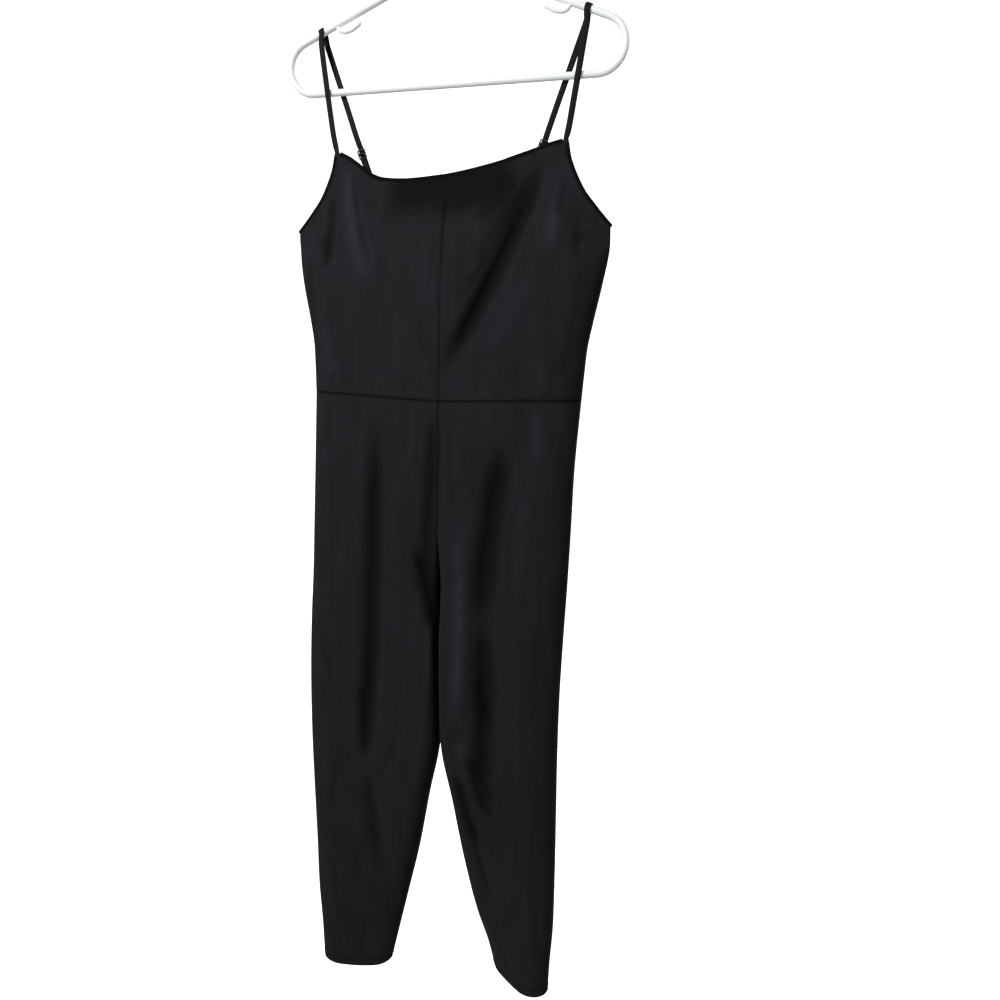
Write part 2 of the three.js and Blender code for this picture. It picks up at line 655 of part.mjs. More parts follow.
// The stations of one binding: down the front armhole, round the underarm and up the back armhole.
function armholeStations(side) {
  const run = (face) =>
    [...Array(ARMHOLE_ROWS + 1).keys()].map((j) => {
      const v = Math.min(Math.max(j / BODICE_ROWS, ARMHOLE_STEP), ARMHOLE_SHARE - ARMHOLE_STEP);
      const at = (du, dv) => bodicePoint(face, side, 1 + du, v + dv);
      return bindingStation(at, [0, ARMHOLE_STEP], [-EDGE_STEP, 0], face);
    });
  const [front, back] = [run("front"), run("back").reverse()];
  const [from, to] = [front[ARMHOLE_ROWS], back[0]];
  const middle = from.middle.clone().add(to.middle).multiplyScalar(0.5);
  const across = from.across.clone().add(to.across).normalize();
  const radius = (to.middle.y - from.middle.y) / 2;
  const sign = side === "right" ? -1 : 1;
  const away = new THREE.Vector3(sign * across.z, 0, -sign * across.x).normalize();
  const steps = 4;
  const turn = [];
  for (let i = 1; i < steps; i += 1) {
    const angle = (Math.PI * i) / steps;
    const out = new THREE.Vector3(0, -Math.cos(angle), 0).addScaledVector(away, Math.sin(angle));
    turn.push({ middle: middle.clone().addScaledVector(out, radius), across, out, width: BINDING_WIDTH });
  }
  return [...front, ...turn, ...back];
}

const armPoint = (x) => ({ x, height: ARM_APEX - ARM_SLOPE * x });

// The strap: up from the armhole binding, over the hanger's arm, down behind and through the slider.
function strapStations(side) {
  const sign = side === "right" ? -1 : 1;
  const first = armholeStations(side)[0];
  const sideways = new THREE.Vector3(sign, 0, 0);
  const level = (x, y, height) => new THREE.Vector3(sign * x, y, height);
  const stations = [];
  const add = (middle, across, width = STRAP_WIDTH) => stations.push({ middle, across, width });
  const upward = new THREE.Vector3().crossVectors(first.across, first.out).multiplyScalar(-sign);
  add(first.middle.clone().addScaledVector(upward, SEAM_GAP), first.across, BINDING_WIDTH);
  const below = [{ x: sign * first.middle.x, height: first.middle.z + BINDING_WIDTH / 2 }, ...FRONT_STRAP];
  for (let i = 1; i <= FRONT_STRAP_STEPS; i += 1) {
    const spot = along(below, i / FRONT_STRAP_STEPS);
    const y = mix(first.middle.y, -STRAP_STAND_OFF, smooth(i / STRAP_EASE_STEPS));
    const nearArm = smooth(1 - (FRONT_STRAP_STEPS - i) / STRAP_EASE_STEPS);
    add(level(spot.x, mix(y, -ARM_CLEAR, nearArm), spot.height), sideways.clone());
  }
  const arm = armPoint(STRAP_ARM_X);
  const slant = Math.atan(ARM_SLOPE);
  const alongArm = level(Math.cos(slant), 0, -Math.sin(slant));
  const aboveArm = level(Math.sin(slant), 0, Math.cos(slant));
  for (let i = 0; i <= WRAP_STEPS; i += 1) {
    const angle = (Math.PI * i) / WRAP_STEPS;
    const middle = level(arm.x, -ARM_CLEAR * Math.cos(angle), arm.height);
    add(middle.addScaledVector(aboveArm, ARM_CLEAR * Math.sin(angle)), alongArm.clone());
  }
  for (let i = 0; i <= BACK_STRAP_STEPS; i += 1) {
    const share = i / BACK_STRAP_STEPS;
    const spot = along(BACK_STRAP, share);
    add(level(spot.x, mix(ARM_CLEAR, STRAP_STAND_OFF, share), spot.height), sideways.clone());
  }
  for (const [rise, y] of sliderWeave()) {
    const middle = sliderPlace(side, rise, y);
    add(middle, sliderAcross(side));
  }
  stations.forEach((station, j) => {
    const before = stations[Math.max(0, j - 1)].middle;
    const after = stations[Math.min(stations.length - 1, j + 1)].middle;
    const ahead = j === 0 ? upward : after.clone().sub(before).normalize();
    station.across.addScaledVector(ahead, -station.across.dot(ahead)).normalize();
    station.out = new THREE.Vector3().crossVectors(station.across, ahead);
  });
  return stations;
}

const ARM_CLEAR = TUBE_RADIUS + SEAM_GAP + STRAP_THICKNESS / 2;
const sliderLean = Math.atan2(SLIDER.x - TAB_FOOT.x, SLIDER.height - TAB_FOOT.height);

// A place in the slider's own frame: a rise along the strap from the slider's middle bar, and the row's Y.
function sliderPlace(side, rise, y) {
  const sign = side === "right" ? -1 : 1;
  const x = SLIDER.x + rise * Math.sin(sliderLean);
  return new THREE.Vector3(sign * x, y, SLIDER.height + rise * Math.cos(sliderLean));
}

function sliderAcross(side) {
  const sign = side === "right" ? -1 : 1;
  return new THREE.Vector3(sign * Math.cos(sliderLean), 0, -Math.sin(sliderLean));
}

// The strap passes behind the top bar, in front of the middle bar and out behind the tab, where its tail hangs.
function sliderWeave() {
  const [loop, bend] = [STRAP_LOOP, WEAVE_BEND];
  const plane = STRAP_STAND_OFF;
  const behindTop = plane + loop + LAYER_GAP;
  const behindTab = plane + STRAP_TAIL[0].behind;
  const places = ABOVE_SLIDER.map(({ rise, behind }) => [rise, plane + behind]);
  places.push([loop + bend, behindTop]);
  const corner = (rise, y, from, to) => {
    for (let i = 1; i <= 3; i += 1) {
      const angle = from + ((to - from) * i) / 3;
      places.push([rise + bend * Math.cos(angle), y + bend * Math.sin(angle)]);
    }
  };
  corner(loop + bend, behindTop - bend, Math.PI / 2, Math.PI);
  for (let i = 0; i <= 6; i += 1) {
    const angle = (Math.PI * i) / 6;
    places.push([loop * Math.cos(angle), plane - loop * Math.sin(angle)]);
  }
  places.push([-loop, behindTab - bend]);
  corner(-loop - bend, behindTab - bend, 0, Math.PI / 2);
  return [...places, ...STRAP_TAIL.map(({ rise, behind }) => [rise, plane + behind])];
}

function strap(side) {
  return band(strapStations(side), STRAP_THICKNESS);
}

// The tab: a folded tape sewn to the back corner, looped through the slider's lower slot round its bottom bar.
function strapTab(side) {
  const plane = STRAP_STAND_OFF;
  const loop = TAB_LOOP;
  const [fold, flat] = [loop * 0.8, TAB_THICKNESS / 2 + LAYER_GAP];
  const barRise = -SLIDER.tall / 2 + SLIDER.rim / 2;
  const footRise = (TAB_FOOT.height - SLIDER.height) / Math.cos(sliderLean);
  const half = (way) => [
    [footRise, plane + way * flat],
    [barRise + TAB_RISES.flat, plane + way * flat],
    [barRise + TAB_RISES.fold, plane + way * fold],
  ];
  const places = half(-1);
  for (let i = 0; i <= 6; i += 1) {
    const angle = (Math.PI * i) / 6;
    places.push([barRise + loop * Math.sin(angle), plane - loop * Math.cos(angle)]);
  }
  places.push(...half(1).reverse());
  const stations = places.map(([rise, y]) => ({ middle: sliderPlace(side, rise, y), width: STRAP_WIDTH }));
  stations.forEach((station, j) => {
    const before = stations[Math.max(0, j - 1)].middle;
    const after = stations[Math.min(stations.length - 1, j + 1)].middle;
    station.across = sliderAcross(side);
    station.out = new THREE.Vector3().crossVectors(station.across, after.clone().sub(before).normalize());
  });
  return band(stations, TAB_THICKNESS);
}

// The slider: a flat frame with a middle bar between its two slots.
function slider(side) {
  const frame = new THREE.Shape();
  const [w, t] = [SLIDER.width / 2, SLIDER.tall / 2];
  frame.moveTo(-w, -t).lineTo(w, -t).lineTo(w, t).lineTo(-w, t).closePath();
  for (const way of [-1, 1]) {
    const hole = new THREE.Path();
    const [near, far] = [(way * SLIDER.rim) / 2, way * (t - SLIDER.rim)];
    const half = SLIDER.slot / 2;
    hole.moveTo(-half, near).lineTo(half, near).lineTo(half, far).lineTo(-half, far).closePath();
    frame.holes.push(hole);
  }
  const geometry = new THREE.ExtrudeGeometry(frame, { depth: SLIDER.thick, bevelEnabled: false });
  const sign = side === "right" ? -1 : 1;
  geometry.translate(0, 0, -SLIDER.thick / 2);
  geometry.rotateX(Math.PI / 2);
  geometry.rotateY(sign * sliderLean);
  geometry.translate(sign * SLIDER.x, STRAP_STAND_OFF, SLIDER.height);
  geometry.deleteAttribute("normal");
  geometry.deleteAttribute("uv");
  return geometry;
}

// Hanger

const flatPoint = (x, height) => new THREE.Vector3(x, 0, height);

// Points of an arc in the hanger's plane, from one angle to another.
function arc(x, height, radius, from, to, steps) {
  return [...Array(steps + 1).keys()].map((i) => {
    const angle = mix(from, to, i / steps);
    return flatPoint(x + radius * Math.cos(angle), height + radius * Math.sin(angle));
  });
}

// The frame: two sloping arms, a round bend at each end and the straight bar below, one closed tube.
function hangerFrame() {
  const slant = Math.atan(ARM_SLOPE);
  const reach = 1 + Math.cos(slant) + ARM_SLOPE * Math.sin(slant);
  const bend = (ARM_APEX - BAR_HEIGHT - ARM_SLOPE * BEND_CENTRE_X) / reach;
  const upright = Math.PI / 2;
  const apexDrop = APEX_RADIUS / Math.cos(slant);
  const apex = arc(0, ARM_APEX - apexDrop, APEX_RADIUS, upright + slant, upright - slant, 4);
  const left = arc(BEND_CENTRE_X, BAR_HEIGHT + bend, bend, upright - slant, -upright, 12);
  const right = arc(-BEND_CENTRE_X, BAR_HEIGHT + bend, bend, -upright, -3 * upright + slant, 12);
  const arms = [1, -1].map((sign) =>
    ARM_STATIONS_X.map((x) => flatPoint(sign * x, armPoint(x).height)),
  );
  const bar = BAR_STATIONS_X.map((x) => flatPoint(x, BAR_HEIGHT));
  const path = [...apex, ...arms[0], ...left, ...bar, ...right, ...arms[1].reverse()];
  return tube(path, TUBE_RADIUS, 12, true);
}

// The hook: a stem from the frame's apex that bends out and round over the rod.
function hangerHook() {
  const middle = HOOK_INNER_RADIUS + HOOK_WIRE_RADIUS;
  const apexTop = ARM_APEX - APEX_RADIUS / Math.cos(Math.atan(ARM_SLOPE)) + APEX_RADIUS + TUBE_RADIUS;
  const round = arc(0, -HOOK_INNER_RADIUS, middle, HOOK_TURN.from, HOOK_TURN.to, 18);
  const [leadX, leadZ] = [Math.sin(HOOK_TURN.from), -Math.cos(HOOK_TURN.from)];
  const stem = new THREE.CubicBezierCurve3(
    flatPoint(0, apexTop + HOOK_STEM.bend),
    flatPoint(0, apexTop + HOOK_STEM.pull),
    flatPoint(round[0].x + HOOK_STEM.lead * leadX, round[0].z + HOOK_STEM.lead * leadZ),
    round[0],
  );
  const foot = [SEAM_GAP, HOOK_STEM.straight].map((rise) => flatPoint(0, apexTop + rise));
  const path = [...foot, ...stem.getPoints(8), ...round.slice(1)];
  return tube(path, HOOK_WIRE_RADIUS, 10, false);
}

function strapHook(side) {
  const sign = side === "right" ? -1 : 1;
  const curve = new THREE.CatmullRomCurve3(STRAP_HOOK.map(({ x, height }) => flatPoint(sign * x, height)));
  return tube(curve.getPoints(14), STRAP_HOOK_RADIUS, 8, false);
}

const SIDES = ["right", "left"];
for (const side of SIDES) addPiece(`bodice_front_${side}`, bodiceFront(side), knit);
addPiece("bodice_back", bodiceBack(), knit);
for (const side of SIDES) {
  addPiece(`leg_front_${side}`, leg("front", side), knit);
  addPiece(`leg_back_${side}`, leg("back", side), knit);
}
addPiece("neck_binding_front", neckBinding("front"), tape);
addPiece("neck_binding_back", neckBinding("back"), tape);
for (const side of SIDES) {
  addPiece(`armhole_binding_${side}`, band(armholeStations(side), BINDING_THICKNESS), tape);
  addPiece(`strap_${side}`, strap(side), tape);
  addPiece(`strap_tab_${side}`, strapTab(side), tape);
  addPiece(`slider_${side}`, slider(side), sliderPlastic);
  addPiece(`strap_hook_${side}`, strapHook(side), hangerPlastic);
}
addPiece("hanger_frame", hangerFrame(), hangerPlastic);
addPiece("hanger_hook", hangerHook(), hangerPlastic);

export default part;
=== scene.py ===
"""A camisole jumpsuit in black stretch knit with long narrow legs, hung by its straps on a tubular hanger.

The pattern's sizes are in millimetres, as a maker writes them, and every mesh is made from them in metres.
Right and left are the wearer's: the right side is at -X, and the front faces -Y. Heights are negative,
measured down from the inner top of the hanger's hook.
"""

import math

import bpy
import numpy as np
from mathutils import Matrix, Vector


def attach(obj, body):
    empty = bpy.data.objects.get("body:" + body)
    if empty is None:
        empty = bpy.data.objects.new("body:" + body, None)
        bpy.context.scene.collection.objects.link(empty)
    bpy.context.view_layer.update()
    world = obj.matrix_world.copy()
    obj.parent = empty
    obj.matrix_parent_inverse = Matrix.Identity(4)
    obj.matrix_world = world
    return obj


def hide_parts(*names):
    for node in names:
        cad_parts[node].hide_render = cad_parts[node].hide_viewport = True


MM = 0.001
SIGN = {"right": -1.0, "left": 1.0}
WAY = {"front": -1.0, "back": 1.0}

# The camera stands a little to the wearer's left, turned to its left and down, with a slight roll.
CAMERA_PLACE = (0.3288, -0.9491, -0.5722)
CAMERA_YAW = 14.76
CAMERA_PITCH = 10.03
CAMERA_ROLL = 1.45
CAMERA_LENS = 27.0
CAMERA_SENSOR = 36.0


def make_camera():
    yaw, pitch, roll = (math.radians(a) for a in (CAMERA_YAW, CAMERA_PITCH, CAMERA_ROLL))
    forward = Vector((-math.sin(yaw) * math.cos(pitch), math.cos(yaw) * math.cos(pitch), -math.sin(pitch)))
    level = Vector((math.cos(yaw), math.sin(yaw), 0.0))
    upright = level.cross(forward)
    across = level * math.cos(roll) + upright * math.sin(roll)
    up = upright * math.cos(roll) - level * math.sin(roll)
    turn = Matrix((across, up, -forward)).transposed().to_4x4()
    data = bpy.data.cameras.new("photo_angle")
    data.lens = CAMERA_LENS
    data.sensor_width = CAMERA_SENSOR
    data.clip_start = 0.02
    camera = bpy.data.objects.new("photo_angle", data)
    camera.matrix_world = Matrix.Translation(CAMERA_PLACE) @ turn
    bpy.context.scene.collection.objects.link(camera)
    bpy.context.scene.camera = camera


make_camera()
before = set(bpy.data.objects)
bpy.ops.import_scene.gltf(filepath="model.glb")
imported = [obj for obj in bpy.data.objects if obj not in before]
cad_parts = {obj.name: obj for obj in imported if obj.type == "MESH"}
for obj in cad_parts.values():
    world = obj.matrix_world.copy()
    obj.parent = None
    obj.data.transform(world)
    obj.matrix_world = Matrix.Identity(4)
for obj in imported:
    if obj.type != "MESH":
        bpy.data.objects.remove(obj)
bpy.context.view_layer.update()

# Cloth
CLOTH = 1.0
# Sewn edges lap by this much, so that no light shows between them
SEAM_MEETS = -0.01
TUCK = 3.4
BINDING_WIDTH = 6.0
BINDING_THICKNESS = 2.2
SEAM_GAP = 0.3
PANEL_WALL = 1.4
UNDERARM_DEPTH = 2.4
SIDE_ROUND = 44.0
STRAP_WIDTH = 7.8
STRAP_THICKNESS = 1.2
TAB_THICKNESS = 1.0

# Heights of the cut
BACK_NECK_CENTRE = -353.0
BACK_NECK_CORNER = (105.0, -343.0)
FRONT_NECK_CORNER_X = 147.0
UNDERARM = -403.0
WAIST = -611.0
WAIST_DIP = (6.5, 110.0)
CROTCH = -868.0
RISE_CURVE_START = -785.0
ARMHOLE_SHARE = 7 / 18
CORNER_FADE = 3

# Hanger
TUBE_RADIUS = 4.25
BAR_HEIGHT = -230.0
ARM_APEX = -90.5
ARM_SLOPE = 0.4
APEX_RADIUS = 30.0
BEND_CENTRE_X = 184.0
ARM_STATIONS_X = (30, 60, 90, 120, 150)
BAR_STATIONS_X = (150, 100, 50, 0, -50, -100, -150)
HOOK_WIRE_RADIUS = 3.5
HOOK_INNER_RADIUS = 19.0
HOOK_TURN = (-math.pi / 5, 1.12 * math.pi)
FRAME_SIDES = 28
HOOK_SIDES = 20
STRAP_HOOK_SIDES = 16
HOOK_STEM_RISES = (8.0, 16.0, 30.0)
HOOK_STEM_PULL = 12.0
STRAP_HOOK_ROOT_X = 153.0
STRAP_HOOK_ROOT_SINK = 1.5

# Straps over the arms, sliders behind
STRAP_ARM_X = 170.0
STRAP_STAND_OFF = 6.0
SLIDER_PLACE = (120.0, -304.0)
SLIDER_SIZE = (11.2, 12.0)
SLIDER_THICK = 1.6
SLIDER_RIM = 1.4
SLIDER_SLOT = 8.3
SLIDER_SOFT_EDGE = 0.28
SLIDER_CORNER = 1.2
SLOT_CORNER = 0.6
TAB_FOOT = (106.5, -341.0)
TAIL_LENGTH = 34.0


def cubic(ends, slopes, step, t):
    """A smooth way between two values, with a given slope at each end."""
    return (
        ends[0] * (1 + 2 * t) * (1 - t) ** 2
        + ends[1] * t * t * (3 - 2 * t)
        + slopes[0] * step * t * (1 - t) ** 2
        - slopes[1] * step * t * t * (1 - t)
    )


class Table:
    """Rows of named columns, read by a smooth curve through them."""

    def __init__(self, columns, rows):
        self.column = dict(zip(columns.split(), np.array(rows, float).T))
        self.column["place"] = np.linspace(0.0, 1.0, len(rows))

    def read(self, name, key, at):
        keys, values = self.column[key], self.column[name]
        if keys[0] > keys[-1]:
            keys, values = keys[::-1], values[::-1]
        slopes = np.diff(values) / np.diff(keys)
        tilt = np.concatenate([slopes[:1], (slopes[1:] + slopes[:-1]) / 2, slopes[-1:]])
        at = np.asarray(at, float)
        i = np.clip(np.searchsorted(keys, at) - 1, 0, len(keys) - 2)
        step = keys[i + 1] - keys[i]
        t = np.clip((at - keys[i]) / step, 0.0, 1.0)
        return cubic((values[i], values[i + 1]), (tilt[i], tilt[i + 1]), step, t)


NECKLINE = {
    "right": Table("x height", [
        (0, -334), (40, -337), (71, -337.5), (93, -334), (108, -326.5), (122, -316), (134, -308), (147, -302),
    ]),
    "left": Table("x height", [
        (0, -334), (14, -332), (42, -327), (80, -318.5), (115, -309), (131, -304), (147, -300),
    ]),
}
ARMHOLE = {
    "front": Table("x height", [
        (154.5, -300), (158, -319), (165.5, -339), (176, -359), (188, -374.5), (199, -387.5), (209.5, -399),
    ]),
    "back": Table("x height", [
        (111, -341), (128, -349), (146, -359), (165, -371), (183, -382), (197, -391), (209.5, -399),
    ]),
}
BODICE_SIDES = Table("height right left", [
    (-403, 209.5, 209.5), (-433, 206.5, 208), (-468, 202, 202), (-515, 193, 192.5),
    (-545, 188.5, 187), (-575, 187, 184.5), (-611, 186, 182),
])
BODY_DEPTH = Table("height front back", [
    (-296, 5.5, 5.5), (-345, 8, 7.5), (-403, 17, 15), (-460, 23, 20),
    (-540, 26, 23), (-611, 27, 25), (-720, 29, 28), (-868, 29, 28),
])
LEG_COLUMNS = "height inner outer front back inner_round outer_round turn set"
LEG_SECTIONS = {
    "right": Table(LEG_COLUMNS, [
        (-611, 0, 186, 27, 25, 34, 46, 0, 0), (-697, 0, 189, 29, 27, 34, 46, 0, 0),
        (-785, 0, 192.5, 29, 28, 34, 46, 0, 0), (-868, 0, 196, 28, 27, 28, 44, 0, 0),
        (-926, 0, 199.5, 27, 26, 10, 42, 0, 0), (-1010, 0.4, 203, 25, 25, 12, 42, 0, 0),
        (-1104, 2, 203.5, 24, 24, 22, 42, 0, 0), (-1188, 18, 200.5, 23, 24, 26, 40, 2, 1),
        (-1284, 35, 197.5, 22, 23, 26, 38, 4, 3), (-1369, 54, 196, 20, 22, 25, 34, 6, 5),
        (-1430, 68, 192.5, 19, 21, 24, 32, 8, 7), (-1503, 84, 190, 18, 20, 24, 30, 9, 8),
    ]),
    "left": Table(LEG_COLUMNS, [
        (-611, 0, 182, 27, 25, 34, 46, 0, 0), (-697, 0, 177, 29, 27, 20, 48, 0, 0),
        (-785, 0, 175.5, 29, 28, 16, 50, 0, 0), (-868, 0, 173.5, 30, 29, 13, 52, 0, 0),
        (-926, 0, 171.5, 32, 31, 9, 54, 0, 0), (-1010, 0.4, 169.5, 34, 32, 14, 56, 0, 0),
        (-1104, 2, 170, 35, 33, 26, 56, 2, 1), (-1188, 17, 172, 34, 33, 34, 54, 6, 4),
        (-1284, 33, 174.5, 32, 32, 36, 50, 12, 8), (-1369, 50, 176, 29, 30, 34, 42, 20, 13),
        (-1430, 64, 175, 25, 27, 32, 36, 30, 18), (-1503, 77, 176, 21, 23, 30, 32, 38, 22),
    ]),
}
HEMS = {"right": (-1488, -1497, -1494), "left": (-1468, -1476, -1470)}
FRONT_STRAP = Table("x height", [(154, -285), (157.5, -262), (162.4, -228), (167.5, -192), (170, -174)])
BACK_STRAP = Table("x height", [(167, -172), (158.5, -196), (147.8, -226), (136.4, -258)])
STRAP_HOOK = [(147.5, -154.9), (145, -157.6), (139, -159.2), (129, -157), (120, -151.5)]
STRAP_HOOK_RADIUS = 2.8

# Folds, in the columns x1 z1 x2 z2 bow width depth crisp: both ends, the sideways bow at mid length, the half
# width, the depth, and how crisp the crease is, from 0 to 1. A depth below 0 is a ridge.
MAIN_FOLDS = {
    "front": [
        (-134, -312, -92, -480, -4, 15, -6.2, 0.3),
        (-155, -350, -158, -455, 0, 8, 5, 0.5),
        (124, -330, 9, -575, 4, 11, 11, 0.5),
        (-92, -366, 118, -352, 5, 29, 5.8, 0),
        (150, -318, 137, -440, 3, 12, -5, 0.2),
        (153, -338, 148, -396, 0, 6, 3.5, 0.5),
        (-168, -517, -141, -600, 0, 12, -2.5, 0.2),
        (-87, -636, -110, -1150, 4, 12, 8, 0.4),
        (-112, -1160, -98, -1320, 6, 12, 4, 0.3),
        (-6, -632, -18, -850, 3, 11, 5.5, 0.3),
        (90, -665, 62, -920, -4, 15, 9, 0.3),
        (62, -900, 71, -1165, 6, 15, 8, 0.4),
        (36, -1130, 70, -1250, -5, 11, 6, 0.4),
        (29, -770, 30, -1070, 10, 13, -5, 0.1),
        (40, -1075, 64, -1165, 0, 11, -4, 0.1),
    ],
    "back": [
        (104, -350, 70, -520, 4, 14, -5, 0.3),
        (-104, -352, -62, -500, -3, 15, -4.5, 0.3),
        (-70, -365, 30, -560, -6, 16, 7, 0.5),
        (60, -400, 92, -585, 4, 13, 5, 0.3),
        (96, -640, 84, -1010, 5, 14, 8, 0.4),
        (-84, -650, -96, -960, -4, 15, 8, 0.3),
        (-70, -985, -104, -1210, 5, 13, 6, 0.4),
        (60, -1040, 88, -1230, -4, 13, 6, 0.3),
        (-24, -640, -16, -830, 3, 12, 5, 0.3),
        (34, -660, 22, -850, -3, 12, -4, 0.2),
    ],
}
SMALL_FOLDS = {
    "front": [
        # strap corners and bust
        (-128, -320, -94, -452, -2, 6, 4, 0.9),
        (110, -338, 22, -500, 3, 6, 2.6, 0.2),
        (96, -356, 40, -452, 0, 6, 2, 0.2),
        (-186, -420, -181, -606, 0, 9, 2.2, 0),
        (-66, -347, 88, -341, 4, 20, 4.5, 0.1),
        (-14, -380, 62, -362, 3, 11, 2.4, 0.3),
        (84, -352, 44, -392, 3, 12, 2.6, 0.2),
        (-143, -400, -131, -440, 1, 5, 1.6, 0.5),
        (-148, -312, -118, -372, 2, 5, -1.2, 0.3),
        (-120, -330, -84, -390, -3, 9, 1.6, 0.3),
        (-176, -372, -170, -440, 2, 6, 1.2, 0.4),
        (-190, -398, -150, -430, 3, 6, 1.3, 0.5),
        (-44, -424, -4, -498, 2, 16, -2.4, 0),
        (-30, -508, -17, -572, 1, 7, 2.2, 0.5),
        (-12, -520, -8, -600, 0, 5, 1.1, 0.4),
        (-70, -352, -40, -372, 2, 9, 1.2, 0.2),
        (12, -345, 30, -378, 2, 9, 1.4, 0.2),
        (66, -338, 96, -352, -3, 8, 1.3, 0.2),
        (58, -372, 88, -345, 3, 8, 1.8, 0.3),
        (140, -330, 104, -420, 4, 8, -1.5, 0.2),
        (168, -382, 172, -448, 2, 7, 2.2, 0.4),
        (196, -402, 160, -432, -3, 6, 1.4, 0.5),
        (126, -446, 60, -560, 5, 12, -1.8, 0.1),
        (96, -420, 40, -510, 4, 9, 1.1, 0.3),
        # above the waist
        (131, -560, 136, -608, 2, 10, -1.8, 0.2),
        (-145, -584, -152, -609, 0, 5, 1.4, 0.4),
        (-92, -560, -88, -608, 2, 6, 0.9, 0.3),
        (60, -578, 56, -609, 1, 6, 0.8, 0.3),
        (-186, -530, -150, -580, -2, 8, 1.2, 0.3),
        (182, -520, 150, -590, 3, 9, 1.4, 0.3),
        # hips
        (131, -618, 136, -700, 2, 12, -2.2, 0.1),
        (-152, -616, -158, -690, 2, 7, 1.3, 0.3),
        (20, -648, 23, -770, -1, 6, 1.3, 0.4),
        (-40, -622, -46, -680, 2, 7, 0.9, 0.3),
        (58, -622, 62, -676, 1, 7, 0.8, 0.3),
        (160, -640, 164, -760, 3, 10, 1.3, 0.2),
        (-60, -700, -66, -850, 3, 9, -1.4, 0.1),
        (-138, -700, -146, -900, -4, 12, 1.2, 0.1),
        (118, -720, 108, -900, 4, 12, -1.5, 0.1),
        # crotch
        (-29, -815, -4, -935, 3, 10, 9, 0.7),
        (-1, -850, -1, -1000, 0, 5, 6, 0.5),
        (-60, -838, -20, -880, 4, 7, 1.6, 0.5),
        (52, -832, 14, -872, -4, 7, 1.5, 0.5),
        (-88, -862, -26, -905, 6, 8, 1.2, 0.4),
        # thighs and knees
        (-187, -618, -196, -1120, 0, 9, 1.6, 0),
        (60, -1108, 92, -1172, -2, 6, 5, 0.8),
        (66, -985, 84, -1060, -5, 9, 5.6, 0.7),
        (88, -1010, 70, -1100, 5, 8, -1.4, 0.2),
        (-111, -1020, -111, -1142, 3, 8, 3.6, 0.6),
        (-60, -1020, -72, -1150, 4, 10, 1.2, 0.2),
        (-159, -1130, -162, -1230, 2, 8, 1.8, 0.3),
        (-160, -920, -168, -1060, 3, 10, 1.1, 0.2),
        (-112, -1166, -98, -1182, 1, 5, 1.5, 0.6),
        (-60, -1100, -96, -1176, 4, 7, 1.3, 0.4),
        (52, -1100, 86, -1196, -4, 9, 6.4, 0.7),
        (96, -1130, 78, -1200, 3, 7, 1.6, 0.4),
        (120, -1150, 130, -1260, 3, 11, 1.2, 0.2),
        (140, -900, 146, -1080, -3, 12, 1.2, 0.1),
        # shins and hems
        (-132, -1240, -128, -1360, 3, 9, 1.4, 0.2),
        (-84, -1290, -98, -1390, -3, 8, 1.2, 0.3),
        (-168, -1300, -160, -1400, 2, 8, 1.1, 0.2),
        (-120, -1400, -128, -1480, 2, 9, 1.1, 0.2),
        (-150, -1420, -148, -1488, -1, 8, -0.9, 0.1),
        (52, -1190, 92, -1330, -4, 8, 3.4, 0.5),
        (110, -1290, 120, -1400, 3, 10, 1.2, 0.2),
        (148, -1280, 146, -1400, 2, 9, -1.2, 0.1),
        (104, -1390, 122, -1462, 2, 8, 1.3, 0.3),
    ],
    "back": [
        (-110, -352, -92, -420, 2, 6, 1.4, 0.4),
        (108, -352, 96, -430, -2, 6, 1.3, 0.4),
        (30, -362, 44, -440, 3, 12, 1.6, 0.1),
        (-30, -366, -10, -420, 2, 10, 1.2, 0.1),
        (-186, -400, -140, -446, 3, 7, 1.5, 0.5),
        (188, -402, 146, -440, -3, 7, 1.5, 0.5),
        (-150, -450, -128, -560, 4, 10, -1.6, 0.2),
        (150, -470, 132, -590, -4, 10, 1.5, 0.3),
        (-40, -520, -52, -604, 2, 8, 1.5, 0.4),
        (10, -540, 16, -606, 1, 7, -1.1, 0.2),
        (-100, -560, -104, -606, 1, 6, 1.1, 0.4),
        (-120, -622, -132, -720, 3, 9, 1.6, 0.2),
        (130, -624, 140, -730, 3, 9, 1.3, 0.2),
        (58, -620, 64, -700, 1, 8, -1.2, 0.1),
        (-50, -630, -56, -740, 2, 8, 1.4, 0.3),
        (-120, -742, -40, -846, 10, 12, 2.2, 0.4),
        (118, -750, 38, -848, -10, 12, 2.4, 0.4),
        (-86, -800, -22, -872, 7, 9, 1.8, 0.5),
        (80, -806, 20, -874, -7, 9, 1.7, 0.5),
        (-150, -840, -70, -906, 8, 12, -1.8, 0.2),
        (148, -838, 66, -902, -8, 12, -1.7, 0.2),
        (-26, -850, -8, -940, 2, 8, 4, 0.4),
        (24, -850, 8, -940, -2, 8, 4, 0.4),
        (-130, -940, -140, -1080, 4, 12, 1.3, 0.1),
        (130, -930, 134, -1080, -4, 12, 1.4, 0.1),
        (-46, -1080, -96, -1140, 5, 8, 1.8, 0.5),
        (-160, -1120, -110, -1160, -4, 8, 1.6, 0.5),
        (40, -1090, 92, -1150, -5, 8, 1.7, 0.5),
        (150, -1130, 104, -1170, 4, 8, 1.6, 0.5),
        (-120, -1230, -118, -1370, 3, 10, 1.6, 0.2),
        (104, -1250, 118, -1380, -3, 10, 1.5, 0.2),
        (-150, -1340, -142, -1470, 2, 9, 1.2, 0.2),
        (140, -1330, 138, -1440, 2, 9, -1.2, 0.1),
    ],
}
FOLD_FADE = 0.3

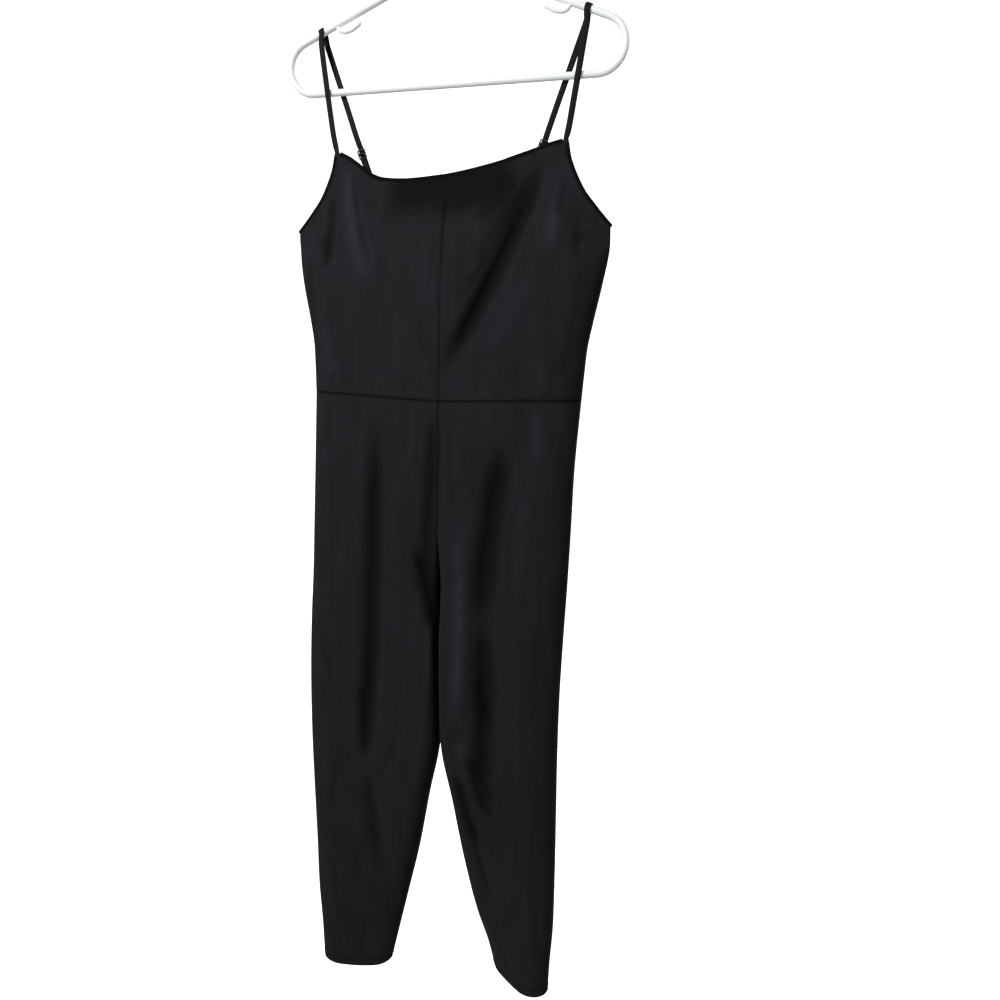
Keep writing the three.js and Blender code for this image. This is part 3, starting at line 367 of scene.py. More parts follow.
# Seams and hems
SEAM_SINK = 0.9
SEAM_SINK_WIDTH = 1.5
# Painted shade along the seams and the hem rows: the fold depth it is painted as, its width, and the centre
# front's share
SEAM_SHADE = 6.5
SEAM_SHADE_WIDTH = 1.9
HEM_SHADE = 4.0
HEM_SHADE_WIDTH = 1.8
CENTRE_SHADE = 0.45
WHOLE_BACK_WIDTH = 300.0
RISE_FADE = 60.0
ALLOWANCE_WIDTH = 7.0
ALLOWANCE_RISE = 0.35
ALLOWANCE_STEP = 1.6
SEAM_ROW_AT = 4.6
WAIST_BAND_WIDTH = 6.0
HEM_ROW_AT = 10.0
HEM_ROW_SINK = 0.7
HEM_ROWS_APART = 3.2
HEM_ROW_SINK_WIDTH = 1.2
HEM_RISE = 0.3
HEM_STEP = 1.5
WAIST_ROW_AT = 2.6
RISE_ROW_STOPS = 26.0
PUCKER = 0.32
# Puckers beside a row of stitches: how far they reach, their pitch, and where their beat starts
PUCKERS = {
    "waist": (7.0, 9.3, 0.4),
    "leg_waist": (8.0, 9.3, 0.4),
    "centre": (7.0, 8.1, 1.1),
    "hem": (6.0, 7.4, 2.3),
}
UNDULATION_SHIFT = {"front": 0.7, "back": 2.9}


def mix(a, b, t):
    return a + (b - a) * t


def smooth(t):
    t = np.clip(t, 0.0, 1.0)
    return t * t * (3 - 2 * t)


def bell(distance, width):
    return np.exp(-((distance / width) ** 2))


def round_edge(distance, reach):
    return np.sqrt(1 - (1 - np.clip(distance / reach, 0.0, 1.0)) ** 2)


def fold_depth(rows, x, height):
    """How deep the folds press in at each place of the front or the back."""
    total = np.zeros(np.broadcast(x, height).shape)
    for x1, z1, x2, z2, bow, width, depth, crisp in rows:
        run_x, run_z = x2 - x1, z2 - z1
        length = math.hypot(run_x, run_z)
        t = ((x - x1) * run_x + (height - z1) * run_z) / length**2
        beside = ((x - x1) * run_z - (height - z1) * run_x) / length
        held = np.clip(t, 0.0, 1.0)
        away = np.abs(beside + bow * 4 * held * (1 - held))
        ends = smooth((t + 0.05) / FOLD_FADE) * smooth((1.05 - t) / FOLD_FADE)
        soft = bell(away, width)
        sharp = np.exp(-2.0 * away / width)
        total += depth * ends * mix(soft, sharp, 0.55 * crisp)
    return total


def all_folds(face, x, height):
    return fold_depth(MAIN_FOLDS[face], x, height) + fold_depth(SMALL_FOLDS[face], x, height)


def seam_lines(points):
    """Painted shade in a thin dark line where the waist seam, the centre front and the rise pull the cloth
    down.
    """
    x, height = points[..., 0], points[..., 2]
    waist = bell(height - waist_height(x), SEAM_SHADE_WIDTH)
    centre = bell(x, SEAM_SHADE_WIDTH) * smooth((height - CROTCH) / RISE_FADE)
    centre = centre * (np.ptp(x) < WHOLE_BACK_WIDTH)
    return SEAM_SHADE * np.maximum(waist, CENTRE_SHADE * centre)


def ripple(along, beside, reach, pitch, shift):
    """Uneven puckers that run across a row of stitches and die away beside it."""
    turns = along * 2 * math.pi / pitch
    beat = np.sin(turns + shift) + 0.6 * np.sin(turns / 1.63 + 2 * shift)
    swell = 0.55 + 0.45 * np.sin(along / 37.0 + 1.7 * shift)
    return PUCKER * beat * swell * np.exp(-np.abs(beside) / reach)


def undulation(x, height, shift):
    """The slow unevenness of hanging knit, in millimetres."""
    broad = np.sin(x / 31 + 1.3 * np.sin(height / 83 + shift)) * np.sin(height / 67 + shift)
    fine = np.sin(x / 13.0 + 2 * np.sin(height / 41 - shift)) * np.sin(height / 29 + x / 53)
    return 0.55 * broad + 0.16 * fine


# Bodice

ARMHOLE_LOOK = 0.02
SIDE_SEAM_BLEND = 7
STRAP_EDGE_TOP = -300.0
STRAP_EDGE_IN = 0.5
UNDERARM_BLEND = 26.0
SIDE_CLOSES = 40.0
BODICE_LEAST_DEPTH = 3.0
LEG_LEAST_DEPTH = 6.0


def waist_height(x):
    return WAIST - WAIST_DIP[0] * bell(x, WAIST_DIP[1])


def top_edge(face, side, u, inset):
    """The top edge of a bodice piece at a share of the way from the centre to the armhole."""
    if face == "front":
        x = FRONT_NECK_CORNER_X * u
        return x, NECKLINE[side].read("height", "x", x) - inset
    return BACK_NECK_CORNER[0] * u, mix(BACK_NECK_CENTRE, BACK_NECK_CORNER[1], u * u) - inset


def outer_edge(face, side, v, inset):
    """The outer edge of a bodice piece: from the top edge's end down the armhole, then down the side seam."""
    armhole = ARMHOLE[face]

    def on_armhole(share):
        near, far = np.clip(share - ARMHOLE_LOOK, 0, 1), np.clip(share + ARMHOLE_LOOK, 0, 1)
        run_x = armhole.read("x", "place", far) - armhole.read("x", "place", near)
        run_z = armhole.read("height", "place", far) - armhole.read("height", "place", near)
        run = np.hypot(run_x, run_z)
        x = armhole.read("x", "place", share) + inset * run_z / run
        return x, armhole.read("height", "place", share) - inset * run_x / run

    down = np.clip(v / ARMHOLE_SHARE, 0, 1)
    upper_x, upper_height = on_armhole(down)
    upper_height += (top_edge(face, side, 1.0, inset)[1] - on_armhole(0.0)[1]) * (1 - down) ** CORNER_FADE
    low_x, low_height = on_armhole(1.0)
    share = np.clip((v - ARMHOLE_SHARE) / (1 - ARMHOLE_SHARE), 0, 1)
    height = mix(low_height, waist_height(BODICE_SIDES.read(side, "height", WAIST)) + SEAM_MEETS, share)
    side_x = mix(low_x, BODICE_SIDES.read(side, "height", height), smooth(share * SIDE_SEAM_BLEND))
    above = v <= ARMHOLE_SHARE
    return np.where(above, upper_x, side_x), np.where(above, upper_height, height)


def edge_depth(height):
    """How far from the hanger's plane the outer edge lies: apart at the strap, joined below the underarm."""
    strap_top = STRAP_STAND_OFF - STRAP_EDGE_IN
    above = mix(UNDERARM_DEPTH, strap_top, smooth((height - UNDERARM) / (STRAP_EDGE_TOP - UNDERARM)))
    return mix(SEAM_MEETS, above, smooth((height - UNDERARM + UNDERARM_BLEND) / UNDERARM_BLEND))


def bodice_relief(face, side, x, height):
    """Folds, seam grooves and puckers of a bodice piece: how far each place lies in from the body's depth."""
    relief = all_folds(face, x, height) + undulation(x, height, UNDULATION_SHIFT[face])
    above_waist = height - waist_height(x)
    relief += SEAM_SINK * bell(above_waist, SEAM_SINK_WIDTH)
    relief -= ALLOWANCE_RISE * smooth((WAIST_BAND_WIDTH + 1 - above_waist) / ALLOWANCE_STEP)
    relief += ripple(x, above_waist, *PUCKERS["waist"])
    if face == "front":
        beside = np.abs(x)
        relief += SEAM_SINK * bell(beside, SEAM_SINK_WIDTH) + ripple(height, beside, *PUCKERS["centre"])
        if side == "right":
            relief -= ALLOWANCE_RISE * smooth((ALLOWANCE_WIDTH - beside) / ALLOWANCE_STEP)
    return relief


def bodice_point(face, side, spread, v, inset):
    """A bodice point between its four edges: spread runs out from the centre, v down from the top."""
    _, top_height = top_edge(face, side, spread, inset)
    outer_x, outer_height = outer_edge(face, side, v, inset)
    corner_x, corner_height = outer_edge(face, side, 0.0, inset)
    end_x, _ = outer_edge(face, side, 1.0, inset)
    centre_top = top_edge(face, side, 0.0, inset)[1]
    x = mix(corner_x * spread, end_x * spread, v) + spread * outer_x - spread * mix(corner_x, end_x, v)
    waist_at = waist_height(end_x * spread) + SEAM_MEETS
    waist_in, waist_out = waist_height(0.0) + SEAM_MEETS, waist_height(end_x) + SEAM_MEETS
    height = (
        mix(top_height, waist_at, v)
        + mix(mix(centre_top, waist_in, v), outer_height, spread)
        - mix(mix(centre_top, waist_in, v), mix(corner_height, waist_out, v), spread)
    )
    depth = BODY_DEPTH.read(face, "height", height)
    closed = smooth((UNDERARM - outer_height) / SIDE_CLOSES)
    inward = outer_x - x
    rounded = mix(smooth(inward / SIDE_ROUND), round_edge(inward, SIDE_ROUND), closed)
    folded = depth - bodice_relief(face, side, SIGN[side] * x, height)
    y = WAY[face] * mix(edge_depth(outer_height), np.maximum(folded, BODICE_LEAST_DEPTH), rounded)
    kept_x = np.maximum(x, SEAM_MEETS) if face == "front" else np.maximum(x, 0.0)
    return np.stack(np.broadcast_arrays(SIGN[side] * kept_x, y, height), -1)


# Legs


def hem_height(side, share):
    inner, middle, outer = HEMS[side]
    return mix(inner, outer, share) + (middle - (inner + outer) / 2) * 4 * share * (1 - share)


def leg_relief(face, side, x, height, above_hem):
    """Folds, seam grooves, hem and puckers of a leg piece."""
    relief = all_folds(face, x, height) + undulation(x, height, UNDULATION_SHIFT[face])
    below_waist = waist_height(x) - height
    relief += SEAM_SINK * bell(below_waist, SEAM_SINK_WIDTH) + ripple(x, below_waist, *PUCKERS["leg_waist"])
    beside = np.abs(x)
    rise = smooth((height - CROTCH) / RISE_FADE)
    seam = SEAM_SINK * bell(beside, SEAM_SINK_WIDTH)
    relief += rise * (seam + ripple(height, beside, *PUCKERS["centre"]))
    if side == "right" and face == "front":
        relief -= rise * ALLOWANCE_RISE * smooth((ALLOWANCE_WIDTH - beside) / ALLOWANCE_STEP)
    above_row = above_hem - HEM_ROW_AT
    relief += HEM_ROW_SINK * bell(above_row, HEM_ROW_SINK_WIDTH) + ripple(x, above_row, *PUCKERS["hem"])
    return relief - HEM_RISE * smooth(-above_row / HEM_STEP)


def leg_point(face, side, spread, v):
    """A leg point: spread runs from the inner seam to the side seam, v from the waist to the hem."""
    rows = LEG_SECTIONS[side]
    hem = hem_height(side, spread)
    rough = mix(WAIST, hem, v)
    inner = np.maximum(rows.read("inner", "height", rough), 0.0)
    outer = rows.read("outer", "height", rough)
    x = mix(inner, outer, spread)
    height = mix(waist_height(x) - SEAM_MEETS, hem, v)
    split = 1 - smooth((RISE_CURVE_START - height) / (RISE_CURVE_START - CROTCH))
    inner_reach = rows.read("inner_round", "height", height)
    outer_reach = rows.read("outer_round", "height", height)
    depth = rows.read(face, "height", height)
    relief = leg_relief(face, side, SIGN[side] * x, height, height - hem)
    rounded = round_edge(outer - x, outer_reach) * mix(round_edge(x - inner, inner_reach), 1.0, split)
    y = WAY[face] * np.maximum(np.maximum(depth - relief, LEG_LEAST_DEPTH) * rounded, SEAM_MEETS)
    return np.stack(np.broadcast_arrays(SIGN[side] * np.maximum(x, SEAM_MEETS), y, height), -1)


def hang_leg(side, points):
    """Turns a leg's section about its own middle and sets it back, as the leg hangs."""
    rows = LEG_SECTIONS[side]
    height = points[..., 2]
    middle = SIGN[side] * (rows.read("inner", "height", height) + rows.read("outer", "height", height)) / 2
    angle = -SIGN[side] * np.radians(rows.read("turn", "height", height))
    x, y = points[..., 0] - middle, points[..., 1]
    turned_x = x * np.cos(angle) - y * np.sin(angle) + middle
    turned_y = x * np.sin(angle) + y * np.cos(angle) + rows.read("set", "height", height)
    return np.stack([turned_x, turned_y, height], -1)


# Meshes


def link(name, mesh, material):
    mesh.materials.append(material)
    piece = bpy.data.objects.new(name, mesh)
    bpy.context.scene.collection.objects.link(piece)
    return piece


def new_mesh(name, points, faces, uv=None, crease=math.radians(50)):
    """A smooth mesh in metres from points in millimetres, with its own UV map where one is given."""
    mesh = bpy.data.meshes.new(name)
    mesh.from_pydata((np.asarray(points) * MM).tolist(), [], [tuple(int(k) for k in f) for f in faces])
    mesh.shade_smooth()
    mesh.set_sharp_from_angle(angle=crease)
    if uv is not None:
        loops = np.empty(len(mesh.loops), np.int32)
        mesh.loops.foreach_get("vertex_index", loops)
        layer = mesh.uv_layers.new(name="cloth")
        layer.data.foreach_set("uv", (np.asarray(uv)[loops] * MM).astype(np.float32).ravel())
    return mesh


def face_out(faces, points):
    """Turns every face round where the closed body would be inside out."""
    volume = 0.0
    for f in faces:
        a = points[f[0]]
        for k in range(1, len(f) - 1):
            volume += np.dot(a, np.cross(points[f[k]], points[f[k + 1]]))
    return faces if volume > 0 else [tuple(reversed(f)) for f in faces]


def grid_normals(points, way):
    """The way out of a grid of points, unit length, on the side that way names."""
    across = np.gradient(points, axis=0)
    down = np.gradient(points, axis=1)
    out = np.cross(across, down)
    out /= np.linalg.norm(out, axis=-1, keepdims=True) + 1e-9
    middle = out[out.shape[0] // 2, out.shape[1] // 2]
    return out * np.sign(np.dot(middle, way))


def running_length(points, axis):
    steps = np.linalg.norm(np.diff(points, axis=axis), axis=-1)
    start = np.zeros_like(np.take(steps, [0], axis=axis))
    return np.concatenate([start, np.cumsum(steps, axis=axis)], axis=axis)


class Panel:
    """A piece of cut cloth: its outer face as a grid of columns and rows, and the wall behind it."""

    def __init__(self, name, face, points, keep, fold=None):
        self.name = name
        self.points = points
        self.out = grid_normals(points, np.array((0.0, WAY[face], 0.0)))
        # fold: the folds' depth plus the seams' dark lines, read by the knit's colour for painted shade in
        # creases and painted highlight on ridges
        if fold is None:
            fold = all_folds(face, points[..., 0], points[..., 2]) + seam_lines(points)
        self.fold = fold
        self.across = running_length(points, 0)
        self.down = running_length(points, 1)
        self.keep = keep

    def mesh(self):
        columns, rows = self.points.shape[:2]
        inner = self.keep(self.points - CLOTH * self.out)
        points = np.concatenate([self.points.reshape(-1, 3), inner.reshape(-1, 3)])
        uv = np.stack([self.across, self.down], -1).reshape(-1, 2)
        number = np.arange(columns * rows).reshape(columns, rows)
        corners = (number[:-1, :-1], number[1:, :-1], number[1:, 1:], number[:-1, 1:])
        quads = np.stack(corners, -1).reshape(-1, 4)
        rim = np.concatenate([number[:, 0], number[-1, 1:], number[-2::-1, -1], number[0, -2:0:-1]])
        after = np.roll(rim, -1)
        size = columns * rows
        sides = np.stack([after, rim, rim + size, after + size], -1)
        faces = np.concatenate([quads, quads[:, ::-1] + size, sides])
        corner = points[quads[0]]
        outwards = np.dot(np.cross(corner[1] - corner[0], corner[2] - corner[0]), self.out[0, 0])
        if outwards < 0:
            faces = faces[:, ::-1]
        mesh = new_mesh(self.name, points, faces, np.concatenate([uv, uv]))
        # Stored for the knit's painted shade and painted highlight
        layer = mesh.attributes.new("fold", "FLOAT", "POINT")
        layer.data.foreach_set("value", np.tile(self.fold.ravel(), 2).astype(np.float32))
        return mesh

    def beside_column(self, distance, first=0, last=None):
        """A row of stitches down the cloth, at a distance along the cloth from its first column."""
        rows = range(self.points.shape[1])[first:last]
        spots = [self._along(self.across[:, j], self.points[:, j], self.out[:, j], distance) for j in rows]
        return np.array(spots)

    def above_hem(self, distance):
        """A row of stitches across the cloth, at a distance up the cloth from its last row."""
        spots = []
        for i in range(self.points.shape[0]):
            lengths = self.down[i]
            spots.append(self._along(lengths, self.points[i], self.out[i], lengths[-1] - distance))
        return np.array(spots)

    @staticmethod
    def _along(lengths, points, out, at):
        place = [np.interp(at, lengths, points[:, k]) for k in range(3)]
        facing = [np.interp(at, lengths, out[:, k]) for k in range(3)]
        return place + facing


BODICE_COLUMNS = 78
BODICE_ROWS = 118
LEG_COLUMNS_FINE = {"front": 78, "back": 62}
LEG_ROWS_FINE = {"front": 330, "back": 270}


def crowded(steps, share):
    """Even steps from 0 to 1, drawn closer towards both ends."""
    t = np.linspace(0.0, 1.0, steps + 1)
    return mix(t, (1 - np.cos(math.pi * t)) / 2, share)


def crowded_outer(steps, share):
    t = np.linspace(0.0, 1.0, steps + 1)
    return mix(t, np.sin(math.pi / 2 * t), share)


def keep_side(face, side):
    """Keeps a wall's inner points on their own side of the seams that it meets."""
    def keep(points):
        kept = points.copy()
        kept[..., 1] = WAY[face] * np.maximum(SEAM_MEETS, WAY[face] * kept[..., 1])
        if side:
            kept[..., 0] = SIGN[side] * np.maximum(SEAM_MEETS, SIGN[side] * kept[..., 0])
        return kept
    return keep


def bodice_grid(face, side):
    spread = crowded_outer(BODICE_COLUMNS, 0.75)[:, None]
    v = np.linspace(0.0, 1.0, BODICE_ROWS + 1)[None, :]
    return bodice_point(face, side, spread, v, BINDING_WIDTH + SEAM_GAP - TUCK)


def bodice_front(side):
    return Panel(f"cloth_bodice_front_{side}", "front", bodice_grid("front", side), keep_side("front", side))


def bodice_back():
    right, left = bodice_grid("back", "right"), bodice_grid("back", "left")
    points = np.concatenate([right[::-1], left[1:]])
    return Panel("cloth_bodice_back", "back", points, keep_side("back", None))


def leg(face, side):
    spread = crowded(LEG_COLUMNS_FINE[face], 0.8)[:, None]
    v = np.linspace(0.0, 1.0, LEG_ROWS_FINE[face] + 1)[None, :]
    flat = leg_point(face, side, spread, v)
    keep = keep_side(face, side)
    panel = Panel(f"cloth_leg_{face}_{side}", face, flat, keep)
    # Painted shade in a thin dark line along the hem's row of stitches
    panel.fold += HEM_SHADE * bell(flat[..., 2] - hem_height(side, spread) - HEM_ROW_AT, HEM_SHADE_WIDTH)
    inner = hang_leg(side, keep(flat - CLOTH * panel.out))
    return Panel(panel.name, face, hang_leg(side, flat), lambda points: inner, panel.fold)


PANELS = {
    "bodice_front_right": bodice_front("right"),
    "bodice_front_left": bodice_front("left"),
    "bodice_back": bodice_back(),
    "leg_front_right": leg("front", "right"),
    "leg_front_left": leg("front", "left"),
    "leg_back_right": leg("back", "right"),
    "leg_back_left": leg("back", "left"),
}


# Bindings and straps

BINDING_ACROSS = (-1.0, -0.96, -0.84, -0.62, -0.3, 0.05, 0.4, 0.72, 0.92, 1.0)
BINDING_STITCH_AT = -0.6
BINDING_DENT = 0.22
BINDING_FULLNESS = 0.93
BINDING_ROW_SINK = 0.2
NECK_BINDING_END = 0.985
NECK_STATIONS = 141
ARMHOLE_STATIONS = 50
# Shares of a panel's way, over which an edge's direction and the cloth's slope are read
NECK_STEP = 0.012
ARMHOLE_STEP = 0.004
INTO_CLOTH = 0.02
TAPE_ACROSS = (-1.0, -0.97, -0.85, -0.5, 0.0, 0.5, 0.85, 0.97, 1.0)


def unit(vectors):
    return vectors / (np.linalg.norm(vectors, axis=-1, keepdims=True) + 1e-12)


def square_to(vectors, ahead):
    """The part of each vector that is square to the way ahead, unit length."""
    return unit(vectors - np.sum(vectors * ahead, -1, keepdims=True) * ahead)


def heading(middles):
    return unit(np.gradient(middles, axis=0))


class Strip:
    """A narrow strip that follows a line: its middles, the way across it and the way out of its face."""

    def __init__(self, middles, across, out, widths):
        given = (middles, across, out, widths)
        self.middles, self.across, self.out, self.widths = (np.asarray(a, float) for a in given)

    def finer(self, times):
        """The same strip with more stations, on a smooth curve through the first ones."""
        count = len(self.middles)
        start = running_length(self.middles, 0)
        steps = np.interp(np.linspace(0, count - 1, (count - 1) * times + 1), np.arange(count), start)
        middles = smooth_curve(start, self.middles, steps)
        across = unit(smooth_curve(start, self.across, steps))
        out = unit(smooth_curve(start, self.out, steps))
        return Strip(middles, across, out, np.interp(steps, start, self.widths))

    def mesh(self, name, thickness, profile, dent=0.0):
        """A solid strip with soft edges. dent is how far the row of stitches pulls it in."""
        a = np.array(profile)
        half = thickness / 2 * (1 - np.abs(a) ** 4) ** 0.5
        half = half - dent * bell(a - BINDING_STITCH_AT, 0.2)
        ring_across = np.concatenate([a, a[-2:0:-1]])
        ring_out = np.concatenate([half, -half[-2:0:-1]])
        length = running_length(self.middles, 0)
        puff = 1 + 0.05 * np.sin(length * 0.83) * np.sin(length * 0.19 + 1)
        rings = (
            self.middles[:, None]
            + self.across[:, None] * (ring_across[:, None] * self.widths[:, None, None] / 2)
            + self.out[:, None] * (ring_out[:, None] * puff[:, None, None])
        )
        sides = np.concatenate([[0.0], np.cumsum(np.hypot(np.diff(ring_across * 3), np.diff(ring_out)))])
        uv = np.stack(np.broadcast_arrays(sides[None, :], length[:, None]), -1)
        return skin(name, rings, uv)

    def row(self, share):
        """A line of places on the strip's face, at a share of its half width, with the way out of it."""
        places = self.middles + self.across * (share * self.widths[:, None] / 2)
        return np.concatenate([places, self.out], axis=1)


def smooth_curve(keys, values, at):
    """A Catmull-Rom curve through the rows of values, read at places along keys."""
    slopes = np.gradient(values, keys, axis=0)
    i = np.clip(np.searchsorted(keys, at) - 1, 0, len(keys) - 2)
    step = (keys[i + 1] - keys[i])[:, None]
    t = ((at - keys[i]) / (keys[i + 1] - keys[i]))[:, None]
    return cubic((values[i], values[i + 1]), (slopes[i], slopes[i + 1]), step, t)


def skin(name, rings, uv=None, closed=False):
    """A closed body skinned over rings of points: joined end to end, or capped by a fan at each end."""
    count, sides = rings.shape[:2]
    points = rings.reshape(-1, 3)
    number = np.arange(count * sides).reshape(count, sides)
    if closed:
        number = np.concatenate([number, number[:1]])
    faces = [
        (number[j, i], number[j, (i + 1) % sides], number[j + 1, (i + 1) % sides], number[j + 1, i])
        for j in range(len(number) - 1)
        for i in range(sides)
    ]
    if not closed:
        faces.append(tuple(number[0, ::-1]))
        faces.append(tuple(number[-1]))
    flat = None if uv is None else np.asarray(uv).reshape(-1, 2)
    return new_mesh(name, points, face_out(faces, points), flat)


def binding_strip(at, beside, inward, face):
    """A binding that carries a panel's edge on. Its way across is square to the edge, in the cloth."""
    edge = at(0.0, 0.0)
    ahead = unit(at(*beside) - at(-beside[0], -beside[1]))
    across = square_to(edge - at(*inward), ahead)
    out = np.cross(across, ahead)
    out *= np.where(out[:, 1:2] * WAY[face] < 0, -1.0, 1.0)
    middles = edge + across * (SEAM_GAP + BINDING_WIDTH / 2) - out * (PANEL_WALL / 2)
    return Strip(middles, across, out, np.full(len(middles), BINDING_WIDTH))


def panel_edge(face, side, u, v):
    """A place on the bodice where its binding meets it: u counts from the centre, v from the top edge."""
    return bodice_point(face, side, mix(u, np.sin(math.pi / 2 * u), 0.5), v, BINDING_WIDTH + SEAM_GAP)


def neck_binding(face):
    """The binding along the neck edge, from the right strap to the left one."""
    share = np.linspace(-NECK_BINDING_END, NECK_BINDING_END, NECK_STATIONS)

    def at(du, dv):
        moved = share + du
        right, left = (panel_edge(face, side, np.abs(moved), max(dv, 0.0)) for side in ("right", "left"))
        return np.where((moved < 0)[:, None], right, left)
    return binding_strip(at, (NECK_STEP, 0.0), (0.0, INTO_CLOTH), face)


def armhole_binding(side):
    """The binding down the front armhole, round the underarm and up the back armhole."""
    v = np.clip(np.linspace(0.0, ARMHOLE_SHARE, ARMHOLE_STATIONS), ARMHOLE_STEP, ARMHOLE_SHARE - ARMHOLE_STEP)

    def run(face):
        def at(du, dv):
            return panel_edge(face, side, 1 + du, v + dv)
        return binding_strip(at, (0.0, ARMHOLE_STEP), (-INTO_CLOTH, 0.0), face)

    front, back = run("front"), run("back")
    low, high = front.middles[-1], back.middles[-1]
    across = unit(front.across[-1] + back.across[-1])
    away = unit(np.array((SIGN[side] * across[2], 0.0, -SIGN[side] * across[0])))
    angles = np.linspace(0, math.pi, 9)[1:-1]
    out = np.array([np.array((0.0, -math.cos(a), 0.0)) + away * math.sin(a) for a in angles])
    turn = (low + high) / 2 + out * (high[1] - low[1]) / 2
    middles = np.concatenate([front.middles, turn, back.middles[::-1]])
    return Strip(
        middles,
        np.concatenate([front.across, np.tile(across, (len(turn), 1)), back.across[::-1]]),
        np.concatenate([front.out, out, back.out[::-1]]),
        np.full(len(middles), BINDING_WIDTH),
    )


STRAP_RUN_STEPS = 12
STRAP_EASE = 4
ARM_TURN_STATIONS = 9
BACK_STRAP_STATIONS = 9
# The tapes' ways round the slider's bars. The pairs are a rise along the strap and a distance behind it.
STRAP_LOOP = 1.75
TAB_LOOP = 1.65
WEAVE_BEND = 1.0
LAYER_GAP = 0.15
BEHIND_TAB = 3.1
ABOVE_SLIDER = ((22, 0.2), (14, 0.9), (8, STRAP_LOOP + LAYER_GAP))
STRAP_TAIL = ((-8, 0.0), (-16, 0.5), (-TAIL_LENGTH, 1.6))
TAB_FLAT_BELOW = 8.0
TAB_OPENS_BELOW = 3.0
TAB_OPENING = 0.8
TUCKED_END = 3.0
# The strap's foot widens inwards into the neck edge
STRAP_BASE_RISES = (0.3, 1.2, 2.4, 4.0, 6.0)
STRAP_BASE_FLARE = 5.5
STRAP_BASE_HEIGHT = 8.0
ARM_CLEAR = TUBE_RADIUS + SEAM_GAP + STRAP_THICKNESS / 2
SLIDER_LEAN = math.atan2(SLIDER_PLACE[0] - TAB_FOOT[0], SLIDER_PLACE[1] - TAB_FOOT[1])


def slider_place(side, rise, y):
    """A place in the slider's own frame: a rise along the strap from its middle bar, and the row's Y."""
    x = SLIDER_PLACE[0] + rise * math.sin(SLIDER_LEAN)
    return np.array((SIGN[side] * x, y, SLIDER_PLACE[1] + rise * math.cos(SLIDER_LEAN)))


def slider_across(side):
    return np.array((SIGN[side] * math.cos(SLIDER_LEAN), 0.0, -math.sin(SLIDER_LEAN)))


def slider_weave():
    """The strap's way behind the top bar, in front of the middle bar and out behind the tab: rises and Ys."""
    loop, bend, plane = STRAP_LOOP, WEAVE_BEND, STRAP_STAND_OFF
    behind_top, behind_tab = plane + loop + LAYER_GAP, plane + BEHIND_TAB
    places = [(rise, plane + behind) for rise, behind in ABOVE_SLIDER] + [(loop + bend, behind_top)]
    for i in range(1, 4):
        angle = math.pi / 2 * (1 + i / 3)
        places.append((loop + bend + bend * math.cos(angle), behind_top - bend + bend * math.sin(angle)))
    for i in range(7):
        angle = math.pi * i / 6
        places.append((loop * math.cos(angle), plane - loop * math.sin(angle)))
    places.append((-loop, behind_tab - bend))
    for i in range(1, 4):
        angle = math.pi / 2 * i / 3
        places.append((-loop - bend + bend * math.cos(angle), behind_tab - bend + bend * math.sin(angle)))
    return places + [(rise, behind_tab + behind) for rise, behind in STRAP_TAIL]


def strap(side, binding):
    """The strap: up from the armhole binding, over the hanger's arm, down behind and through the slider."""
    sign = SIGN[side]
    sideways = np.array((sign, 0.0, 0.0))
    stations = []

    def add(middle, across, width=STRAP_WIDTH):
        stations.append((np.asarray(middle, float), np.asarray(across, float), width))

    first, first_across, first_out = binding.middles[0], binding.across[0], binding.out[0]
    upward = np.cross(first_across, first_out) * -sign
    add(first - upward * TUCKED_END, first_across, BINDING_WIDTH)
    for rise in STRAP_BASE_RISES:
        flare = STRAP_BASE_FLARE * (1 - rise / STRAP_BASE_HEIGHT) ** 2
        add(first + upward * rise - sideways * (flare / 2), first_across, BINDING_WIDTH + flare)
    base = first + upward * STRAP_BASE_RISES[-1]
    places = [(sign * base[0], base[2])] + list(zip(FRONT_STRAP.column["x"], FRONT_STRAP.column["height"]))
    run = Table("x height", places)
    steps = STRAP_RUN_STEPS
    for i in range(1, steps + 1):
        x, height = run.read("x", "place", i / steps), run.read("height", "place", i / steps)
        y = mix(first[1], -STRAP_STAND_OFF, smooth(i / STRAP_EASE))
        add((sign * x, mix(y, -ARM_CLEAR, smooth((i - steps) / STRAP_EASE + 1)), height), sideways)
    slant = math.atan(ARM_SLOPE)
    along_arm = np.array((sign * math.cos(slant), 0.0, -math.sin(slant)))
    above_arm = np.array((sign * math.sin(slant), 0.0, math.cos(slant)))
    arm = np.array((sign * STRAP_ARM_X, 0.0, ARM_APEX - ARM_SLOPE * STRAP_ARM_X))
    for share in np.linspace(0, 1, ARM_TURN_STATIONS):
        angle = math.pi * share
        around = np.array((0.0, -ARM_CLEAR * math.cos(angle), 0.0)) + above_arm * ARM_CLEAR * math.sin(angle)
        add(arm + around, along_arm)
    for share in np.linspace(0, 1, BACK_STRAP_STATIONS):
        x, height = BACK_STRAP.read("x", "place", share), BACK_STRAP.read("height", "place", share)
        add((sign * x, mix(ARM_CLEAR, STRAP_STAND_OFF, share), height), sideways)
    for rise, y in slider_weave():
        add(slider_place(side, rise, y), slider_across(side))
    middles = np.array([s[0] for s in stations])
    ahead = heading(middles)
    ahead[:2] = upward
    across = square_to(np.array([s[1] for s in stations]), ahead)
    return Strip(middles, across, np.cross(across, ahead) * sign, [s[2] for s in stations]).finer(4)


